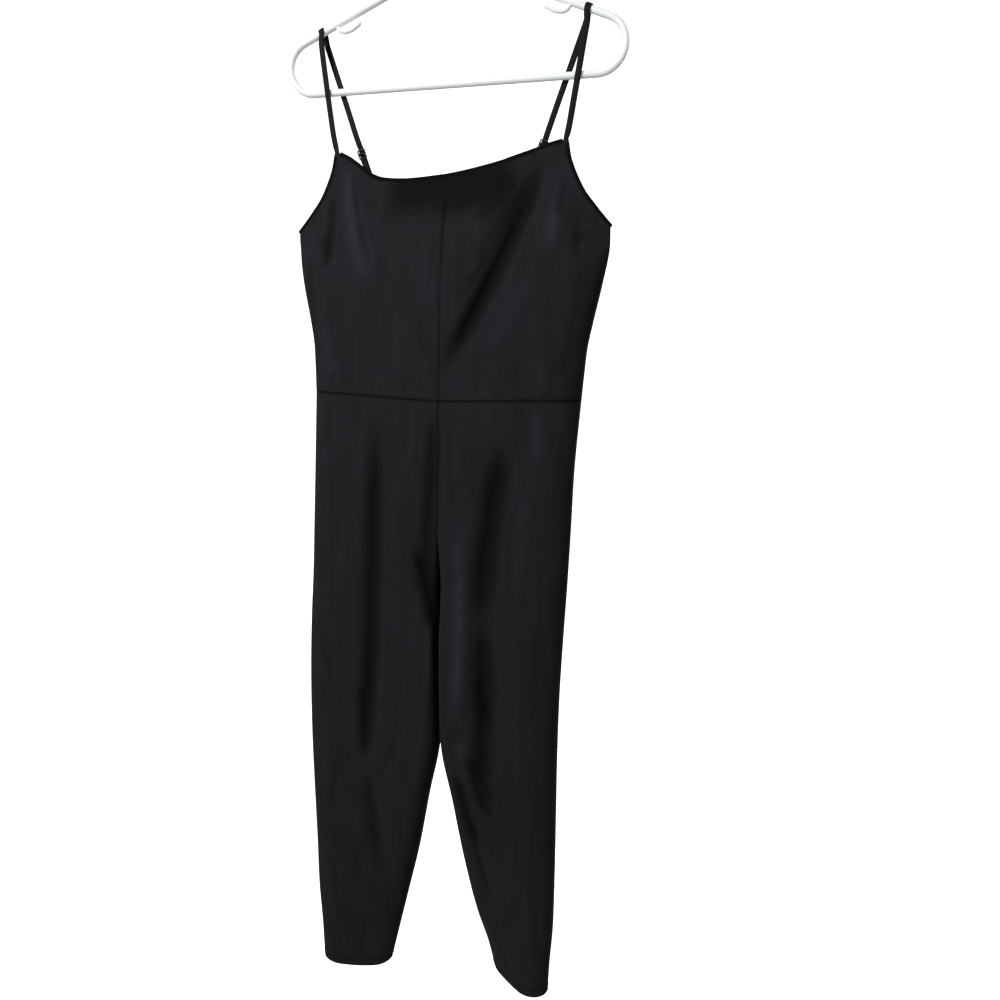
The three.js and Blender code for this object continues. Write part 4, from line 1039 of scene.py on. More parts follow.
def strap_tab(side):
    """A folded tape sewn to the back corner, looped through the slider's lower slot round its bottom bar."""
    plane, loop = STRAP_STAND_OFF, TAB_LOOP
    bar = -SLIDER_SIZE[1] / 2 + SLIDER_RIM / 2
    foot = (TAB_FOOT[1] - SLIDER_PLACE[1]) / math.cos(SLIDER_LEAN) - TUCKED_END
    layer = TAB_THICKNESS / 2 + LAYER_GAP
    inner = [(foot, layer), (bar - TAB_FLAT_BELOW, layer), (bar - TAB_OPENS_BELOW, loop * TAB_OPENING)]
    angles = [math.pi * i / 6 for i in range(7)]
    places = [(rise, plane - behind) for rise, behind in inner]
    places += [(bar + loop * math.sin(a), plane - loop * math.cos(a)) for a in angles]
    places += [(rise, plane + behind) for rise, behind in reversed(inner)]
    middles = np.array([slider_place(side, rise, y) for rise, y in places])
    across = np.tile(slider_across(side), (len(middles), 1))
    out = np.cross(across, heading(middles))
    return Strip(middles, across, out, np.full(len(middles), STRAP_WIDTH)).finer(3)


def flat_outline(half_wide, half_tall, corner, centre=0.0, steps=5):
    """A rectangle with round corners, as a list of places, round the way of the clock's hands."""
    places = []
    for k, (sx, sy) in enumerate(((1, 1), (1, -1), (-1, -1), (-1, 1))):
        for i in range(steps + 1):
            angle = math.pi / 2 - math.pi / 2 * (k + i / steps)
            x = sx * (half_wide - corner) + corner * math.cos(angle)
            places.append((x, centre + sy * (half_tall - corner) + corner * math.sin(angle), 0.0))
    return places


def slider_mesh(side, name):
    """The slider's frame: a flat outline with two slots, made thick and soft edged as a filled curve."""
    curve = bpy.data.curves.new(name, "CURVE")
    curve.dimensions = "2D"
    curve.fill_mode = "BOTH"
    soft = SLIDER_SOFT_EDGE
    curve.extrude = (SLIDER_THICK / 2 - soft) * MM
    curve.bevel_depth = soft * MM
    curve.bevel_resolution = 2
    wide, tall = SLIDER_SIZE[0] / 2, SLIDER_SIZE[1] / 2
    slot_tall = (tall - 1.5 * SLIDER_RIM) / 2
    outlines = [flat_outline(wide - soft, tall - soft, SLIDER_CORNER)]
    for way in (-1, 1):
        centre = way * (SLIDER_RIM / 2 + slot_tall)
        outlines.append(flat_outline(SLIDER_SLOT / 2 + soft, slot_tall + soft, SLOT_CORNER, centre))
    for outline in outlines:
        spline = curve.splines.new("POLY")
        spline.points.add(len(outline) - 1)
        spline.use_cyclic_u = True
        for point, place in zip(spline.points, outline):
            point.co = (*(p * MM for p in place), 1.0)
    holder = bpy.data.objects.new(name, curve)
    bpy.context.scene.collection.objects.link(holder)
    graph = bpy.context.evaluated_depsgraph_get()
    mesh = bpy.data.meshes.new_from_object(holder.evaluated_get(graph))
    bpy.data.objects.remove(holder)
    bpy.data.curves.remove(curve)
    upright = Matrix.Rotation(math.pi / 2, 4, "X")
    lean = Matrix.Rotation(SIGN[side] * SLIDER_LEAN, 4, "Y")
    place = Vector((SIGN[side] * SLIDER_PLACE[0], STRAP_STAND_OFF, SLIDER_PLACE[1])) * MM
    mesh.transform(Matrix.Translation(place) @ lean @ upright)
    mesh.materials.clear()
    mesh.shade_smooth()
    mesh.set_sharp_from_angle(angle=math.radians(40))
    return mesh


# Hanger


def arc(x, height, radius, start, end, steps):
    angles = np.linspace(start, end, steps + 1)
    return [(x + radius * math.cos(a), 0.0, height + radius * math.sin(a)) for a in angles]


def tube(name, path, radii, sides, closed):
    """A round tube in the hanger's plane, with a radius for each place of its path."""
    path = np.array(path)
    if closed:
        ahead = unit(np.roll(path, -1, axis=0) - np.roll(path, 1, axis=0))
    else:
        ahead = heading(path)
    beside = np.stack([ahead[:, 2], np.zeros(len(path)), -ahead[:, 0]], -1)
    angle = np.arange(sides) * 2 * math.pi / sides
    upright = np.array((0.0, 1.0, 0.0))
    around = beside[:, None] * np.cos(angle)[None, :, None] + upright * np.sin(angle)[None, :, None]
    rings = path[:, None] + around * np.asarray(radii)[:, None, None]
    return skin(name, rings, closed=closed)


def hanger_frame_path():
    slant = math.atan(ARM_SLOPE)
    reach = 1 + math.cos(slant) + ARM_SLOPE * math.sin(slant)
    bend = (ARM_APEX - BAR_HEIGHT - ARM_SLOPE * BEND_CENTRE_X) / reach
    upright = math.pi / 2
    apex = arc(0, ARM_APEX - APEX_RADIUS / math.cos(slant), APEX_RADIUS, upright + slant, upright - slant, 10)
    left = arc(BEND_CENTRE_X, BAR_HEIGHT + bend, bend, upright - slant, -upright, 40)
    right = arc(-BEND_CENTRE_X, BAR_HEIGHT + bend, bend, -upright, -3 * upright + slant, 40)
    arm = [(x, 0.0, ARM_APEX - ARM_SLOPE * x) for x in ARM_STATIONS_X]
    bar = [(x, 0.0, BAR_HEIGHT) for x in BAR_STATIONS_X]
    return apex + arm + left + bar + right + [(-x, y, z) for x, y, z in reversed(arm)]


def rounded_tip(path, radius, steps=5):
    """A tube's path and radii with a half-ball tip past its last place."""
    path = [np.array(p, float) for p in path]
    ahead = unit(path[-1] - path[-2])
    radii = [radius] * len(path)
    for i in range(1, steps + 1):
        angle = math.pi / 2 * i / (steps + 0.35)
        path.append(path[len(radii) - i] + ahead * radius * math.sin(angle))
        radii.append(radius * math.cos(angle))
    return path, radii


def hanger_hook_path():
    middle = HOOK_INNER_RADIUS + HOOK_WIRE_RADIUS
    apex_top = ARM_APEX - APEX_RADIUS / math.cos(math.atan(ARM_SLOPE)) + APEX_RADIUS
    start, end = HOOK_TURN
    ring = arc(0, -HOOK_INNER_RADIUS, middle, start, end, 48)
    foot, low, high = [Vector((0, 0, apex_top + TUBE_RADIUS + rise)) for rise in HOOK_STEM_RISES]
    pull = Vector((math.sin(start), 0, -math.cos(start))) * HOOK_STEM_PULL
    ends = [low, high, Vector(ring[0]) + pull, Vector(ring[0])]
    stem = []
    for i in range(21):
        t = i / 20
        weights = ((1 - t) ** 3, 3 * t * (1 - t) ** 2, 3 * t * t * (1 - t), t**3)
        stem.append(tuple(sum((e * w for e, w in zip(ends, weights)), Vector())))
    return [(0, 0, apex_top), tuple(foot)] + stem + ring[1:]


def strap_hook_path(side):
    root = (STRAP_HOOK_ROOT_X, ARM_APEX - ARM_SLOPE * STRAP_HOOK_ROOT_X + STRAP_HOOK_ROOT_SINK)
    rows = Table("x height", [root] + STRAP_HOOK)
    places = [(rows.read("x", "place", t), rows.read("height", "place", t)) for t in np.linspace(0, 1, 25)]
    return [(SIGN[side] * x, 0.0, float(height)) for x, height in places]


# Node graphs


class Value:
    """A socket that is worked with in Python: an expression on values adds its Math nodes."""

    def __init__(self, graph, socket):
        self.graph, self.socket = graph, socket

    def _math(self, operation, first, second):
        return self.graph.node(self.graph.MATH, {"operation": operation}, {0: first, 1: second})

    def __add__(self, other):
        return self._math("ADD", self, other)

    def __radd__(self, other):
        return self._math("ADD", other, self)

    def __sub__(self, other):
        return self._math("SUBTRACT", self, other)

    def __rsub__(self, other):
        return self._math("SUBTRACT", other, self)

    def __mul__(self, other):
        return self._math("MULTIPLY", self, other)

    def __rmul__(self, other):
        return self._math("MULTIPLY", other, self)

    def __truediv__(self, other):
        return self._math("DIVIDE", self, other)

    def __rtruediv__(self, other):
        return self._math("DIVIDE", other, self)

    def __mod__(self, other):
        return self._math("FLOORED_MODULO", self, other)


class Graph:
    """A node tree built by one method, from a node's type, its settings, and its sockets' values or links."""

    MATH = "ShaderNodeMath"

    def __init__(self, tree):
        self.tree = tree

    def node(self, kind, settings=None, inputs=None, output=0):
        made = self.tree.nodes.new(kind)
        for name, value in (settings or {}).items():
            if name == "stops":
                self._stops(made.color_ramp, value)
            else:
                setattr(made, name, value)
        for name, value in (inputs or {}).items():
            if isinstance(value, Value):
                self.tree.links.new(value.socket, made.inputs[name])
            elif value is not None:
                made.inputs[name].default_value = value
        if output is None:
            return made
        return Value(self, made.outputs[output])

    @staticmethod
    def _stops(ramp, stops):
        for _ in range(len(stops) - len(ramp.elements)):
            ramp.elements.new(0.5)
        for element, (place, tone) in zip(ramp.elements, stops):
            element.position = place
            element.color = (tone, tone, tone, 1.0)


# Materials


class Finish(Graph):
    """A material's graph, with the expressions that its finishes share."""

    def __init__(self, name):
        self.material = bpy.data.materials.new(name)
        self.material.use_nodes = True
        super().__init__(self.material.node_tree)
        self.tree.nodes.clear()

    def noise(self, place, scale, detail=3.0, roughness=0.55, distortion=0.0):
        inputs = {"Vector": place, "Scale": scale, "Detail": detail}
        inputs.update({"Roughness": roughness, "Distortion": distortion})
        return self.node("ShaderNodeTexNoise", {}, inputs)

    def ramp(self, value, *stops):
        return self.node("ShaderNodeValToRGB", {"stops": stops}, {"Fac": value})

    def blend(self, share, first, second):
        settings = {"data_type": "RGBA", "clamp_factor": True}
        return self.node("ShaderNodeMix", settings, {"Factor": share, 6: first, 7: second}, output=2)

    def object_place(self):
        return self.node("ShaderNodeTexCoord", {}, {}, output="Object")

    def cloth_place(self):
        return self.node("ShaderNodeUVMap", {"uv_map": "cloth"})

    def scaled(self, place, factors):
        return self.node("ShaderNodeVectorMath", {"operation": "MULTIPLY"}, {0: place, 1: factors})

    def parts(self, vector):
        split = self.node("ShaderNodeSeparateXYZ", {}, {"Vector": vector}, output=None)
        return [Value(self, split.outputs[k]) for k in range(3)]

    def wave(self, value):
        return self.node(self.MATH, {"operation": "SINE"}, {0: value})

    def bump(self, height, strength, distance, normal=None):
        inputs = {"Height": height, "Strength": strength, "Distance": distance, "Normal": normal}
        return self.node("ShaderNodeBump", {}, inputs)

    def finish(self, changing, **constant):
        """Closes the graph: what changes over the surface is linked, the rest is set on the shader itself."""
        inputs = dict(changing)
        inputs.update({name.replace("_", " "): value for name, value in constant.items()})
        shader = self.node("ShaderNodeBsdfPrincipled", {}, inputs)
        self.node("ShaderNodeOutputMaterial", {}, {"Surface": shader}, output=None)
        return self.material


WALE_PITCH = 0.0011
COURSE_PITCH = 0.0009
KNIT_DARK = (0.0080, 0.0062, 0.0066, 1.0)
KNIT_LIGHT = (0.0112, 0.0100, 0.0122, 1.0)
KNIT_FADED = (0.0138, 0.0124, 0.0150, 1.0)
KNIT_RIB = (0.0230, 0.0208, 0.0250, 1.0)
# A painted highlight, for the ridges and the light streaks
KNIT_PAINTED_HIGHLIGHT = (0.0270, 0.0268, 0.0350, 1.0)
# A painted shade, warm tinted, for the creases, the seam lines, the hem rows and the dark streaks
KNIT_PAINTED_SHADE = (0.0024, 0.0013, 0.0011, 1.0)
KNIT_LINT = (0.0700, 0.0660, 0.0700, 1.0)
TAPE_DARK = (0.0030, 0.0022, 0.0021, 1.0)
TAPE_LIGHT = (0.0064, 0.0052, 0.0052, 1.0)
STRAP_DARK = (0.0070, 0.0058, 0.0056, 1.0)
STRAP_LIGHT = (0.0145, 0.0132, 0.0136, 1.0)
THREAD_DARK = (0.009, 0.008, 0.009, 1.0)
THREAD_LIGHT = (0.017, 0.015, 0.017, 1.0)
SLIDER_DARK = (0.0110, 0.010, 0.0090, 1.0)
SLIDER_LIGHT = (0.0198, 0.018, 0.0153, 1.0)
HANGER_SHADE = (0.84, 0.86, 0.85, 1.0)
HANGER_WHITE = (0.91, 0.925, 0.92, 1.0)
WHITE = (1.0, 1.0, 1.0, 1.0)
# Painted glow: the hanger's plastic glows faintly, which lifts its shaded sides towards white
HANGER_PAINTED_GLOW = 0.14


def stretch_knit():
    """Black plain knit: fine wales and courses, an uneven nap, a little lint, painted shade in its folds and
    along its seams, painted highlight on its ridges, and random streaks of both.
    """
    cloth = Finish("stretch_knit")
    place = cloth.cloth_place()
    across, down, _ = cloth.parts(place)
    body = cloth.object_place()
    drift = cloth.noise(place, 260.0, 2.0)
    turn = 2 * math.pi
    wales = cloth.wave((across + drift * 0.0004) * (turn / WALE_PITCH))
    courses = cloth.wave((down + drift * 0.0005) * (turn / COURSE_PITCH))
    nap = cloth.noise(cloth.scaled(place, (1.0, 0.45, 1.0)), 900.0, 4.0, 0.7)
    slub = cloth.noise(cloth.scaled(place, (1.0, 0.12, 1.0)), 420.0, 2.0)
    patch = cloth.noise(body, 9.0, 3.0, 0.5, 0.4)
    fade = cloth.noise(body, 38.0, 4.0, 0.6)
    lint = cloth.ramp(cloth.noise(place, 1500.0, 2.0, 0.6), (0.0, 0.0), (0.68, 0.0), (0.76, 1.0))
    shade = cloth.blend(cloth.ramp(patch, (0.35, 0.0), (0.65, 1.0)), KNIT_DARK, KNIT_LIGHT)
    speckle = cloth.ramp(cloth.noise(place, 520.0, 3.0, 0.7), (0.4, 0.0), (0.62, 1.0))
    shade = cloth.blend(speckle * 0.7, shade, KNIT_RIB)
    # Random vertical streaks of painted highlight and painted shade
    streak = cloth.noise(cloth.scaled(body, (1.0, 1.0, 0.14)), 64.0, 4.0, 0.6, 0.3)
    shade = cloth.blend(cloth.ramp(streak, (0.5, 0.0), (0.8, 1.0)) * 0.34, shade, KNIT_PAINTED_HIGHLIGHT)
    shade = cloth.blend(cloth.ramp(streak, (0.22, 1.0), (0.46, 0.0)) * 0.5, shade, KNIT_PAINTED_SHADE)
    shade = cloth.blend(fade * 0.5, shade, KNIT_FADED)
    # Painted shade in the creases and along the seams and hem rows, read from the fold attribute
    fold = cloth.node("ShaderNodeAttribute", {"attribute_name": "fold"}, {}, output="Fac")
    uneven = 0.55 + cloth.noise(body, 34.0, 4.0, 0.65, 0.5) * 0.9
    valley = cloth.ramp(fold * uneven * 0.1, (0.0, 0.0), (0.06, 0.0), (0.3, 0.56), (0.66, 1.0))
    # Painted highlight on the ridges, read from the fold attribute
    ridge = cloth.ramp(fold * -0.2, (0.0, 0.0), (0.08, 0.0), (0.9, 1.0))
    shade = cloth.blend(valley * 0.92, shade, KNIT_PAINTED_SHADE)
    shade = cloth.blend(ridge * 0.6, shade, KNIT_PAINTED_HIGHLIGHT)
    shade = cloth.blend((wales * 0.5 + 0.5) * (courses * 0.25 + 0.75) * 0.22, shade, KNIT_RIB)
    shade = cloth.blend(lint * 0.18, shade, KNIT_LINT)
    rough = 0.7 + (patch + nap) * 0.12
    height = wales * 0.5 + courses * 0.3 + nap * 0.9 + slub * 0.5
    soft = cloth.bump(fade, 0.25, 0.0012)
    changing = {"Base Color": shade, "Roughness": rough, "Normal": cloth.bump(height, 0.35, 0.00022, soft)}
    sheen = {"Sheen_Weight": 0.03, "Sheen_Roughness": 0.45, "Sheen_Tint": (0.92, 0.94, 1.0, 1.0)}
    return cloth.finish(changing, Specular_IOR_Level=0.1, **sheen)


def binding_tape(name, dark, light, rough, gloss):
    """Folded knit tape: tight fine ribs along the strip and a slightly smoother face than the panels."""
    tape = Finish(name)
    place = tape.cloth_place()
    across, along, _ = tape.parts(place)
    drift = tape.noise(place, 500.0, 2.0)
    ribs = tape.wave((across + drift * 0.0006) * (2 * math.pi / 0.0021))
    rows = tape.wave((along + drift * 0.0003) * (2 * math.pi / 0.0008))
    nap = tape.noise(place, 1300.0, 3.0, 0.65)
    patch = tape.noise(tape.object_place(), 30.0, 3.0)
    shade = tape.blend(patch, dark, light)
    changing = {
        "Base Color": shade,
        "Roughness": rough + nap * 0.14,
        "Normal": tape.bump(ribs * 0.4 + rows * 0.4 + nap * 0.7, 0.4, 0.00015),
    }
    return tape.finish(changing, Specular_IOR_Level=gloss)


def thread():
    """Black sewing thread with a faint twist along it."""
    spun = Finish("sewing_thread")
    place = spun.object_place()
    twist = spun.noise(spun.scaled(place, (1.0, 1.0, 3.0)), 2600.0, 2.0)
    patch = spun.noise(place, 55.0, 2.0)
    changing = {
        "Base Color": spun.blend(patch, THREAD_DARK, THREAD_LIGHT),
        "Roughness": 0.5 + twist * 0.22,
        "Normal": spun.bump(twist, 0.3, 0.0001),
    }
    return spun.finish(changing, Specular_IOR_Level=0.2)


def moulded_plastic(name, dark, light, rough, ripple_height, gloss, painted_glow=0.0):
    """Moulded plastic: faint sink ripples, a fine grain and handling marks that dull it here and there."""
    plastic = Finish(name)
    place = plastic.object_place()
    sink = plastic.noise(place, 26.0, 2.0)
    grain = plastic.noise(place, 1800.0, 2.0)
    marks = plastic.ramp(plastic.noise(place, 60.0, 5.0, 0.7, 0.6), (0.0, 0.0), (0.52, 0.0), (0.72, 1.0))
    changing = {
        "Base Color": plastic.blend(sink * 0.7 + marks * 0.3, light, dark),
        "Roughness": rough + marks * 0.12 + grain * 0.05,
        "Normal": plastic.bump(grain, 0.12, 0.00006, plastic.bump(sink, 0.2, ripple_height)),
    }
    # The emission is a painted glow that lifts the shaded sides; the slider has none
    return plastic.finish(changing, Specular_IOR_Level=gloss, Emission_Color=WHITE, Emission_Strength=painted_glow)


FINISHES = {
    "knit": stretch_knit(),
    "tape": binding_tape("binding_tape", TAPE_DARK, TAPE_LIGHT, rough=0.66, gloss=0.04),
    "strap": binding_tape("strap_tape", STRAP_DARK, STRAP_LIGHT, rough=0.55, gloss=0.08),
    "thread": thread(),
    "slider": moulded_plastic("slider_plastic", SLIDER_DARK, SLIDER_LIGHT, 0.45, 0.0003, 0.25),
    "hanger": moulded_plastic("hanger_plastic", HANGER_SHADE, HANGER_WHITE, 0.3, 0.0006, 0.5, HANGER_PAINTED_GLOW),
}


# Stitches

# In metres and radians. Wander is how far a stitch may turn, and the share by which its length may differ.
STITCH_DEFAULTS = {
    "Pitch": 0.0026, "Length": 0.0021, "Width": 0.00055, "Height": 0.0005,
    "Slant": 0.0, "Zigzag": 0.0, "Wander": 0.07,
}


def input_socket(tree, name, kind, default=None):
    made = tree.interface.new_socket(name=name, in_out="INPUT", socket_type=kind)
    if default is not None:
        made.default_value = default
    return made.identifier


def stitch_tree():
    """Lays stitches along lines: small rounded beads at even steps, turned by the line and the cloth."""
    tree = bpy.data.node_groups.new("stitches_along_lines", "GeometryNodeTree")
    graph = Graph(tree)
    named = {"Lines": input_socket(tree, "Lines", "NodeSocketGeometry")}
    for name, default in STITCH_DEFAULTS.items():
        named[name] = input_socket(tree, name, "NodeSocketFloat", default)
    named["Seed"] = input_socket(tree, "Seed", "NodeSocketInt", 0)
    named["Thread"] = input_socket(tree, "Thread", "NodeSocketMaterial")
    tree.interface.new_socket(name="Stitches", in_out="OUTPUT", socket_type="NodeSocketGeometry")
    source = tree.nodes.new("NodeGroupInput")
    given = {name: Value(graph, source.outputs[name]) for name in named}
    curve = graph.node("GeometryNodeMeshToCurve", {}, {"Mesh": given["Lines"]})
    inputs = {"Curve": curve, "Length": given["Pitch"]}
    steps = graph.node("GeometryNodeResampleCurve", {"mode": "LENGTH"}, inputs)
    facing = graph.node("GeometryNodeInputNamedAttribute", {"data_type": "FLOAT_VECTOR"}, {"Name": "facing"})
    ahead = graph.node("GeometryNodeInputTangent")
    turned = graph.node(
        "FunctionNodeAxesToRotation", {"primary_axis": "Z", "secondary_axis": "X"},
        {"Primary Axis": facing, "Secondary Axis": ahead},
    )
    number = graph.node("GeometryNodeInputIndex")
    way = (number % 2.0) * 2.0 - 1.0

    def wander(shift):
        inputs = {2: -1.0, 3: 1.0, "ID": number, "Seed": given["Seed"] + shift}
        return graph.node("FunctionNodeRandomValue", {"data_type": "FLOAT"}, inputs, output=1)

    slant = given["Slant"] + given["Zigzag"] * way + given["Wander"] * wander(1)
    spin = graph.node("FunctionNodeAxisAngleToRotation", {}, {"Axis": (0.0, 0.0, 1.0), "Angle": slant})
    turned = graph.node(
        "FunctionNodeRotateRotation", {"rotation_space": "LOCAL"}, {"Rotation": turned, "Rotate By": spin}
    )
    length = given["Length"] * (1.0 + given["Wander"] * wander(2))
    halves = {0: length / 2.0, 1: given["Width"] / 2.0, 2: given["Height"] / 2.0}
    size = graph.node("ShaderNodeCombineXYZ", {}, halves)
    bead = graph.node("GeometryNodeMeshUVSphere", {}, {"Segments": 8, "Rings": 5, "Radius": 1.0})
    inputs = {"Points": steps, "Instance": bead, "Rotation": turned, "Scale": size}
    laid = graph.node("GeometryNodeInstanceOnPoints", {}, inputs)
    solid = graph.node("GeometryNodeRealizeInstances", {}, {"Geometry": laid})
    solid = graph.node("GeometryNodeSetShadeSmooth", {}, {"Geometry": solid})
    dressed = graph.node("GeometryNodeSetMaterial", {}, {"Geometry": solid, "Material": given["Thread"]})
    graph.node("NodeGroupOutput", {}, {0: dressed}, output=None)
    return tree, named


STITCHES, STITCH_INPUTS = stitch_tree()


def sewn(name, lines, seed, **sizes):
    """Stitches along lines of places, each with the way out of the cloth there."""
    points, facing, edges = [], [], []
    for line in lines:
        line = np.asarray(line, float)
        edges += [(len(points) + i, len(points) + i + 1) for i in range(len(line) - 1)]
        points += (line[:, :3] * MM).tolist()
        facing += line[:, 3:].tolist()
    mesh = bpy.data.meshes.new(name)
    mesh.from_pydata(points, edges, [])
    outward = mesh.attributes.new("facing", "FLOAT_VECTOR", "POINT")
    outward.data.foreach_set("vector", np.array(facing, np.float32).ravel())
    piece = bpy.data.objects.new(name, mesh)
    bpy.context.scene.collection.objects.link(piece)
    modifier = piece.modifiers.new("stitches", "NODES")
    modifier.node_group = STITCHES
    for key, value in sizes.items():
        modifier[STITCH_INPUTS[key]] = value
    modifier[STITCH_INPUTS["Seed"]] = seed
    modifier[STITCH_INPUTS["Thread"]] = FINISHES["thread"]
    graph = bpy.context.evaluated_depsgraph_get()
    made = bpy.data.meshes.new_from_object(piece.evaluated_get(graph))
    piece.modifiers.remove(modifier)
    piece.data = made
    made.name = name
    bpy.data.meshes.remove(mesh)
    return piece


def lifted(line, height):
    """A line of places moved out of the cloth."""
    line = np.asarray(line, float)
    return np.concatenate([line[:, :3] + height * line[:, 3:], line[:, 3:]], axis=1)


# Pieces


def strip_piece(name, strip, thickness, profile, finish, dent=0.0):
    return link(name, strip.mesh(name, thickness, profile, dent), FINISHES[finish])


BINDINGS = {
    "neck_binding_front": neck_binding("front"),
    "neck_binding_back": neck_binding("back"),
    "armhole_binding_right": armhole_binding("right"),
    "armhole_binding_left": armhole_binding("left"),
}
STRAPS = {side: strap(side, BINDINGS[f"armhole_binding_{side}"]) for side in SIGN}

cloth = {node: link(panel.name, panel.mesh(), FINISHES["knit"]) for node, panel in PANELS.items()}
trim = {
    node: strip_piece(f"tape_{node}", strip, BINDING_THICKNESS, BINDING_ACROSS, "tape", BINDING_DENT)
    for node, strip in BINDINGS.items()
}
for side, strip in STRAPS.items():
    trim[f"strap_{side}"] = strip_piece(f"tape_strap_{side}", strip, STRAP_THICKNESS, TAPE_ACROSS, "strap")
    trim[f"strap_tab_{side}"] = strip_piece(
        f"tape_strap_tab_{side}", strap_tab(side), TAB_THICKNESS, TAPE_ACROSS, "strap"
    )
for side in SIGN:
    name = f"plastic_slider_{side}"
    trim[f"slider_{side}"] = link(name, slider_mesh(side, name), FINISHES["slider"])

hook_path, hook_radii = rounded_tip(hanger_hook_path(), HOOK_WIRE_RADIUS)
frame_path = hanger_frame_path()
frame_radii = [TUBE_RADIUS] * len(frame_path)
hanger = {
    "hanger_frame": tube("plastic_hanger_frame", frame_path, frame_radii, FRAME_SIDES, True),
    "hanger_hook": tube("plastic_hanger_hook", hook_path, hook_radii, HOOK_SIDES, False),
}
for side in SIGN:
    path, radii = rounded_tip(strap_hook_path(side), STRAP_HOOK_RADIUS)
    hanger[f"strap_hook_{side}"] = tube(f"plastic_strap_hook_{side}", path, radii, STRAP_HOOK_SIDES, False)
hanger = {node: link(mesh.name, mesh, FINISHES["hanger"]) for node, mesh in hanger.items()}


# Rows of stitches on each piece

ROW_LIFT = 0.12


def rows_above(panel, *distances):
    """Rows of stitches at distances above a panel's lower edge."""
    return [lifted(panel.above_hem(distance), ROW_LIFT) for distance in distances]


def add_stitches():
    rows = {}
    for index, (node, strip) in enumerate(BINDINGS.items()):
        line = strip.row(BINDING_STITCH_AT)
        line[:, :3] += line[:, 3:] * (BINDING_THICKNESS / 2 * BINDING_FULLNESS - BINDING_ROW_SINK)
        rows[node] = [sewn(f"thread_{node}", [line], 11 + index, Pitch=0.0027, Length=0.0023)]
    for side in SIGN:
        panel = PANELS[f"bodice_front_{side}"]
        lines = rows_above(panel, WAIST_ROW_AT, WAIST_BAND_WIDTH)
        rows[f"bodice_front_{side}"] = [sewn(f"thread_waist_front_{side}", lines, 21)]
    right = PANELS["bodice_front_right"]
    lines = [lifted(right.beside_column(SEAM_ROW_AT, 2, -3), ROW_LIFT)]
    rows["bodice_front_right"].append(sewn("thread_centre_front", lines, 31))
    leg_front = PANELS["leg_front_right"]
    last = int(LEG_ROWS_FINE["front"] * (WAIST - CROTCH - RISE_ROW_STOPS) / (WAIST - HEMS["right"][1]))
    lines = [lifted(leg_front.beside_column(SEAM_ROW_AT, 2, last), ROW_LIFT)]
    rows["leg_front_right"] = [sewn("thread_front_rise", lines, 32)]
    lines = rows_above(PANELS["bodice_back"], WAIST_ROW_AT, WAIST_BAND_WIDTH)
    rows["bodice_back"] = [sewn("thread_waist_back", lines, 41)]
    for number, node in enumerate(n for n in PANELS if n.startswith("leg")):
        lines = rows_above(PANELS[node], HEM_ROW_AT, HEM_ROW_AT - HEM_ROWS_APART)
        hem = sewn(f"thread_hem_{node}", lines, 51 + number, Pitch=0.0029, Length=0.0024)
        rows.setdefault(node, []).append(hem)
    return rows


threads = add_stitches()


# Stage and lights

FLOOR = -1.62
STAGE_FRONT = -2.6
STAGE_BACK = 1.9
STAGE_HALF_WIDTH = 4.5
STAGE_RISE = 2.6
STAGE_BEND = 0.9
STAGE_GLOW = 0.9
ROOM_AMBIENT = 0.2
ROOM_SEEN = 1.0
# Each light's place, aim, size, watts and colour
LIGHTS = {
    "key_light": ((-1.25, -2.15, 0.65), (0.0, 0.0, -0.75), (0.7, 1.2), 68.0, (0.93, 0.965, 1.0)),
    "fill_light": ((2.1, -1.3, -0.5), (0.0, 0.0, -0.85), (0.9, 1.6), 3.0, (1.0, 0.9, 0.8)),
    "back_light": ((0.7, 1.5, 0.5), (0.0, 0.0, -0.8), (1.2, 1.2), 34.0, (1.0, 1.0, 1.0)),
}


def make_stage():
    """A pale floor that curves up into a pale wall behind."""
    bend = [
        (STAGE_BACK - STAGE_BEND + STAGE_BEND * math.sin(a), FLOOR + STAGE_BEND * (1 - math.cos(a)))
        for a in np.linspace(0, math.pi / 2, 25)
    ]
    line = [(STAGE_FRONT, FLOOR)] + bend + [(STAGE_BACK, STAGE_RISE)]
    points = [(x, y, z) for y, z in line for x in (-STAGE_HALF_WIDTH, STAGE_HALF_WIDTH)]
    faces = [(2 * i, 2 * i + 1, 2 * i + 3, 2 * i + 2) for i in range(len(line) - 1)]
    mesh = bpy.data.meshes.new("studio_floor")
    mesh.from_pydata(points, [], faces)
    mesh.shade_smooth()
    paper = Finish("studio_paper")
    grain = paper.noise(paper.object_place(), 3.0, 2.0)
    changing = {"Base Color": paper.blend(grain, (0.86, 0.86, 0.86, 1.0), (0.88, 0.88, 0.88, 1.0))}
    material = paper.finish(
        changing, Roughness=0.9, Specular_IOR_Level=0.1, Emission_Color=WHITE, Emission_Strength=STAGE_GLOW
    )
    floor = link("studio_floor", mesh, material)
    floor.visible_diffuse = False
    floor.visible_glossy = False


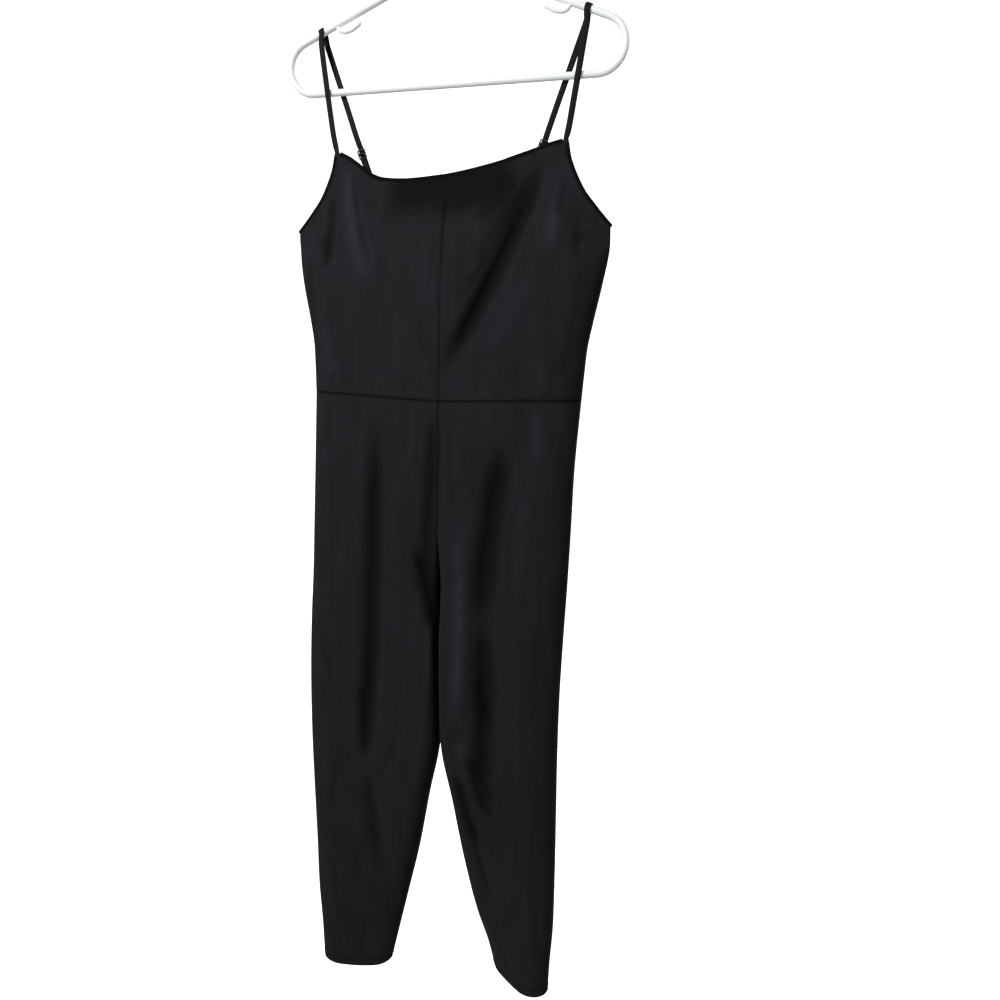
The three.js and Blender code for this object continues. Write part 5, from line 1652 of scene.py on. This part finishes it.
def area_light(name, place, aim, size, watts, colour):
    data = bpy.data.lights.new(name, "AREA")
    data.shape = "RECTANGLE"
    data.size, data.size_y = size
    data.energy = watts
    data.color = colour
    light = bpy.data.objects.new(name, data)
    way = Vector(aim) - Vector(place)
    light.matrix_world = Matrix.Translation(place) @ way.to_track_quat("-Z", "Y").to_matrix().to_4x4()
    light.visible_camera = False
    bpy.context.scene.collection.objects.link(light)


def make_world():
    """A pale room to look at that lights the piece only faintly."""
    world = bpy.data.worlds.new("studio_room")
    bpy.context.scene.world = world
    world.use_nodes = True
    room = Graph(world.node_tree)
    room.tree.nodes.clear()
    seen = room.node("ShaderNodeLightPath", {}, {}, output="Is Camera Ray")
    strength = ROOM_AMBIENT + seen * (ROOM_SEEN - ROOM_AMBIENT)
    back = room.node("ShaderNodeBackground", {}, {"Color": WHITE, "Strength": strength})
    room.node("ShaderNodeOutputWorld", {}, {"Surface": back}, output=None)


make_stage()
make_world()
for name, settings in LIGHTS.items():
    area_light(name, *settings)
bpy.context.scene.view_settings.view_transform = "Standard"


# What each piece rides on, stands for and is cut from

CUTS = {
    "bodice_front_right": ((0.220, 0.325), 0.0572),
    "bodice_front_left": ((0.224, 0.327), 0.0594),
    "bodice_back": ((0.442, 0.325), 0.1047),
    "leg_front_right": ((0.237, 0.886), 0.1785),
    "leg_front_left": ((0.218, 0.869), 0.1643),
    "leg_back_right": ((0.234, 0.886), 0.1781),
    "leg_back_left": ((0.212, 0.869), 0.1620),
}
CARRIED = {
    "bodice_front_right": ["neck_binding_front", "armhole_binding_right", "strap_right"],
    "bodice_front_left": ["armhole_binding_left", "strap_left"],
    "bodice_back": ["neck_binding_back", "strap_tab_right", "strap_tab_left"],
}


def settle(piece, slot, *nodes):
    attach(piece, "root")
    if nodes:
        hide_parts(*nodes)


for node, piece in cloth.items():
    settle(piece, "stretch_knit", node)
for node, piece in trim.items():
    settle(piece, "slider_plastic" if node.startswith("slider") else "binding_tape", node)
for node, piece in hanger.items():
    settle(piece, "hanger_plastic", node)
for pieces in threads.values():
    for piece in pieces:
        settle(piece, "stretch_knit")
for node, (flat, area) in CUTS.items():
    with_pieces = [trim[name] for name in CARRIED.get(node, [])] + threads.get(node, [])
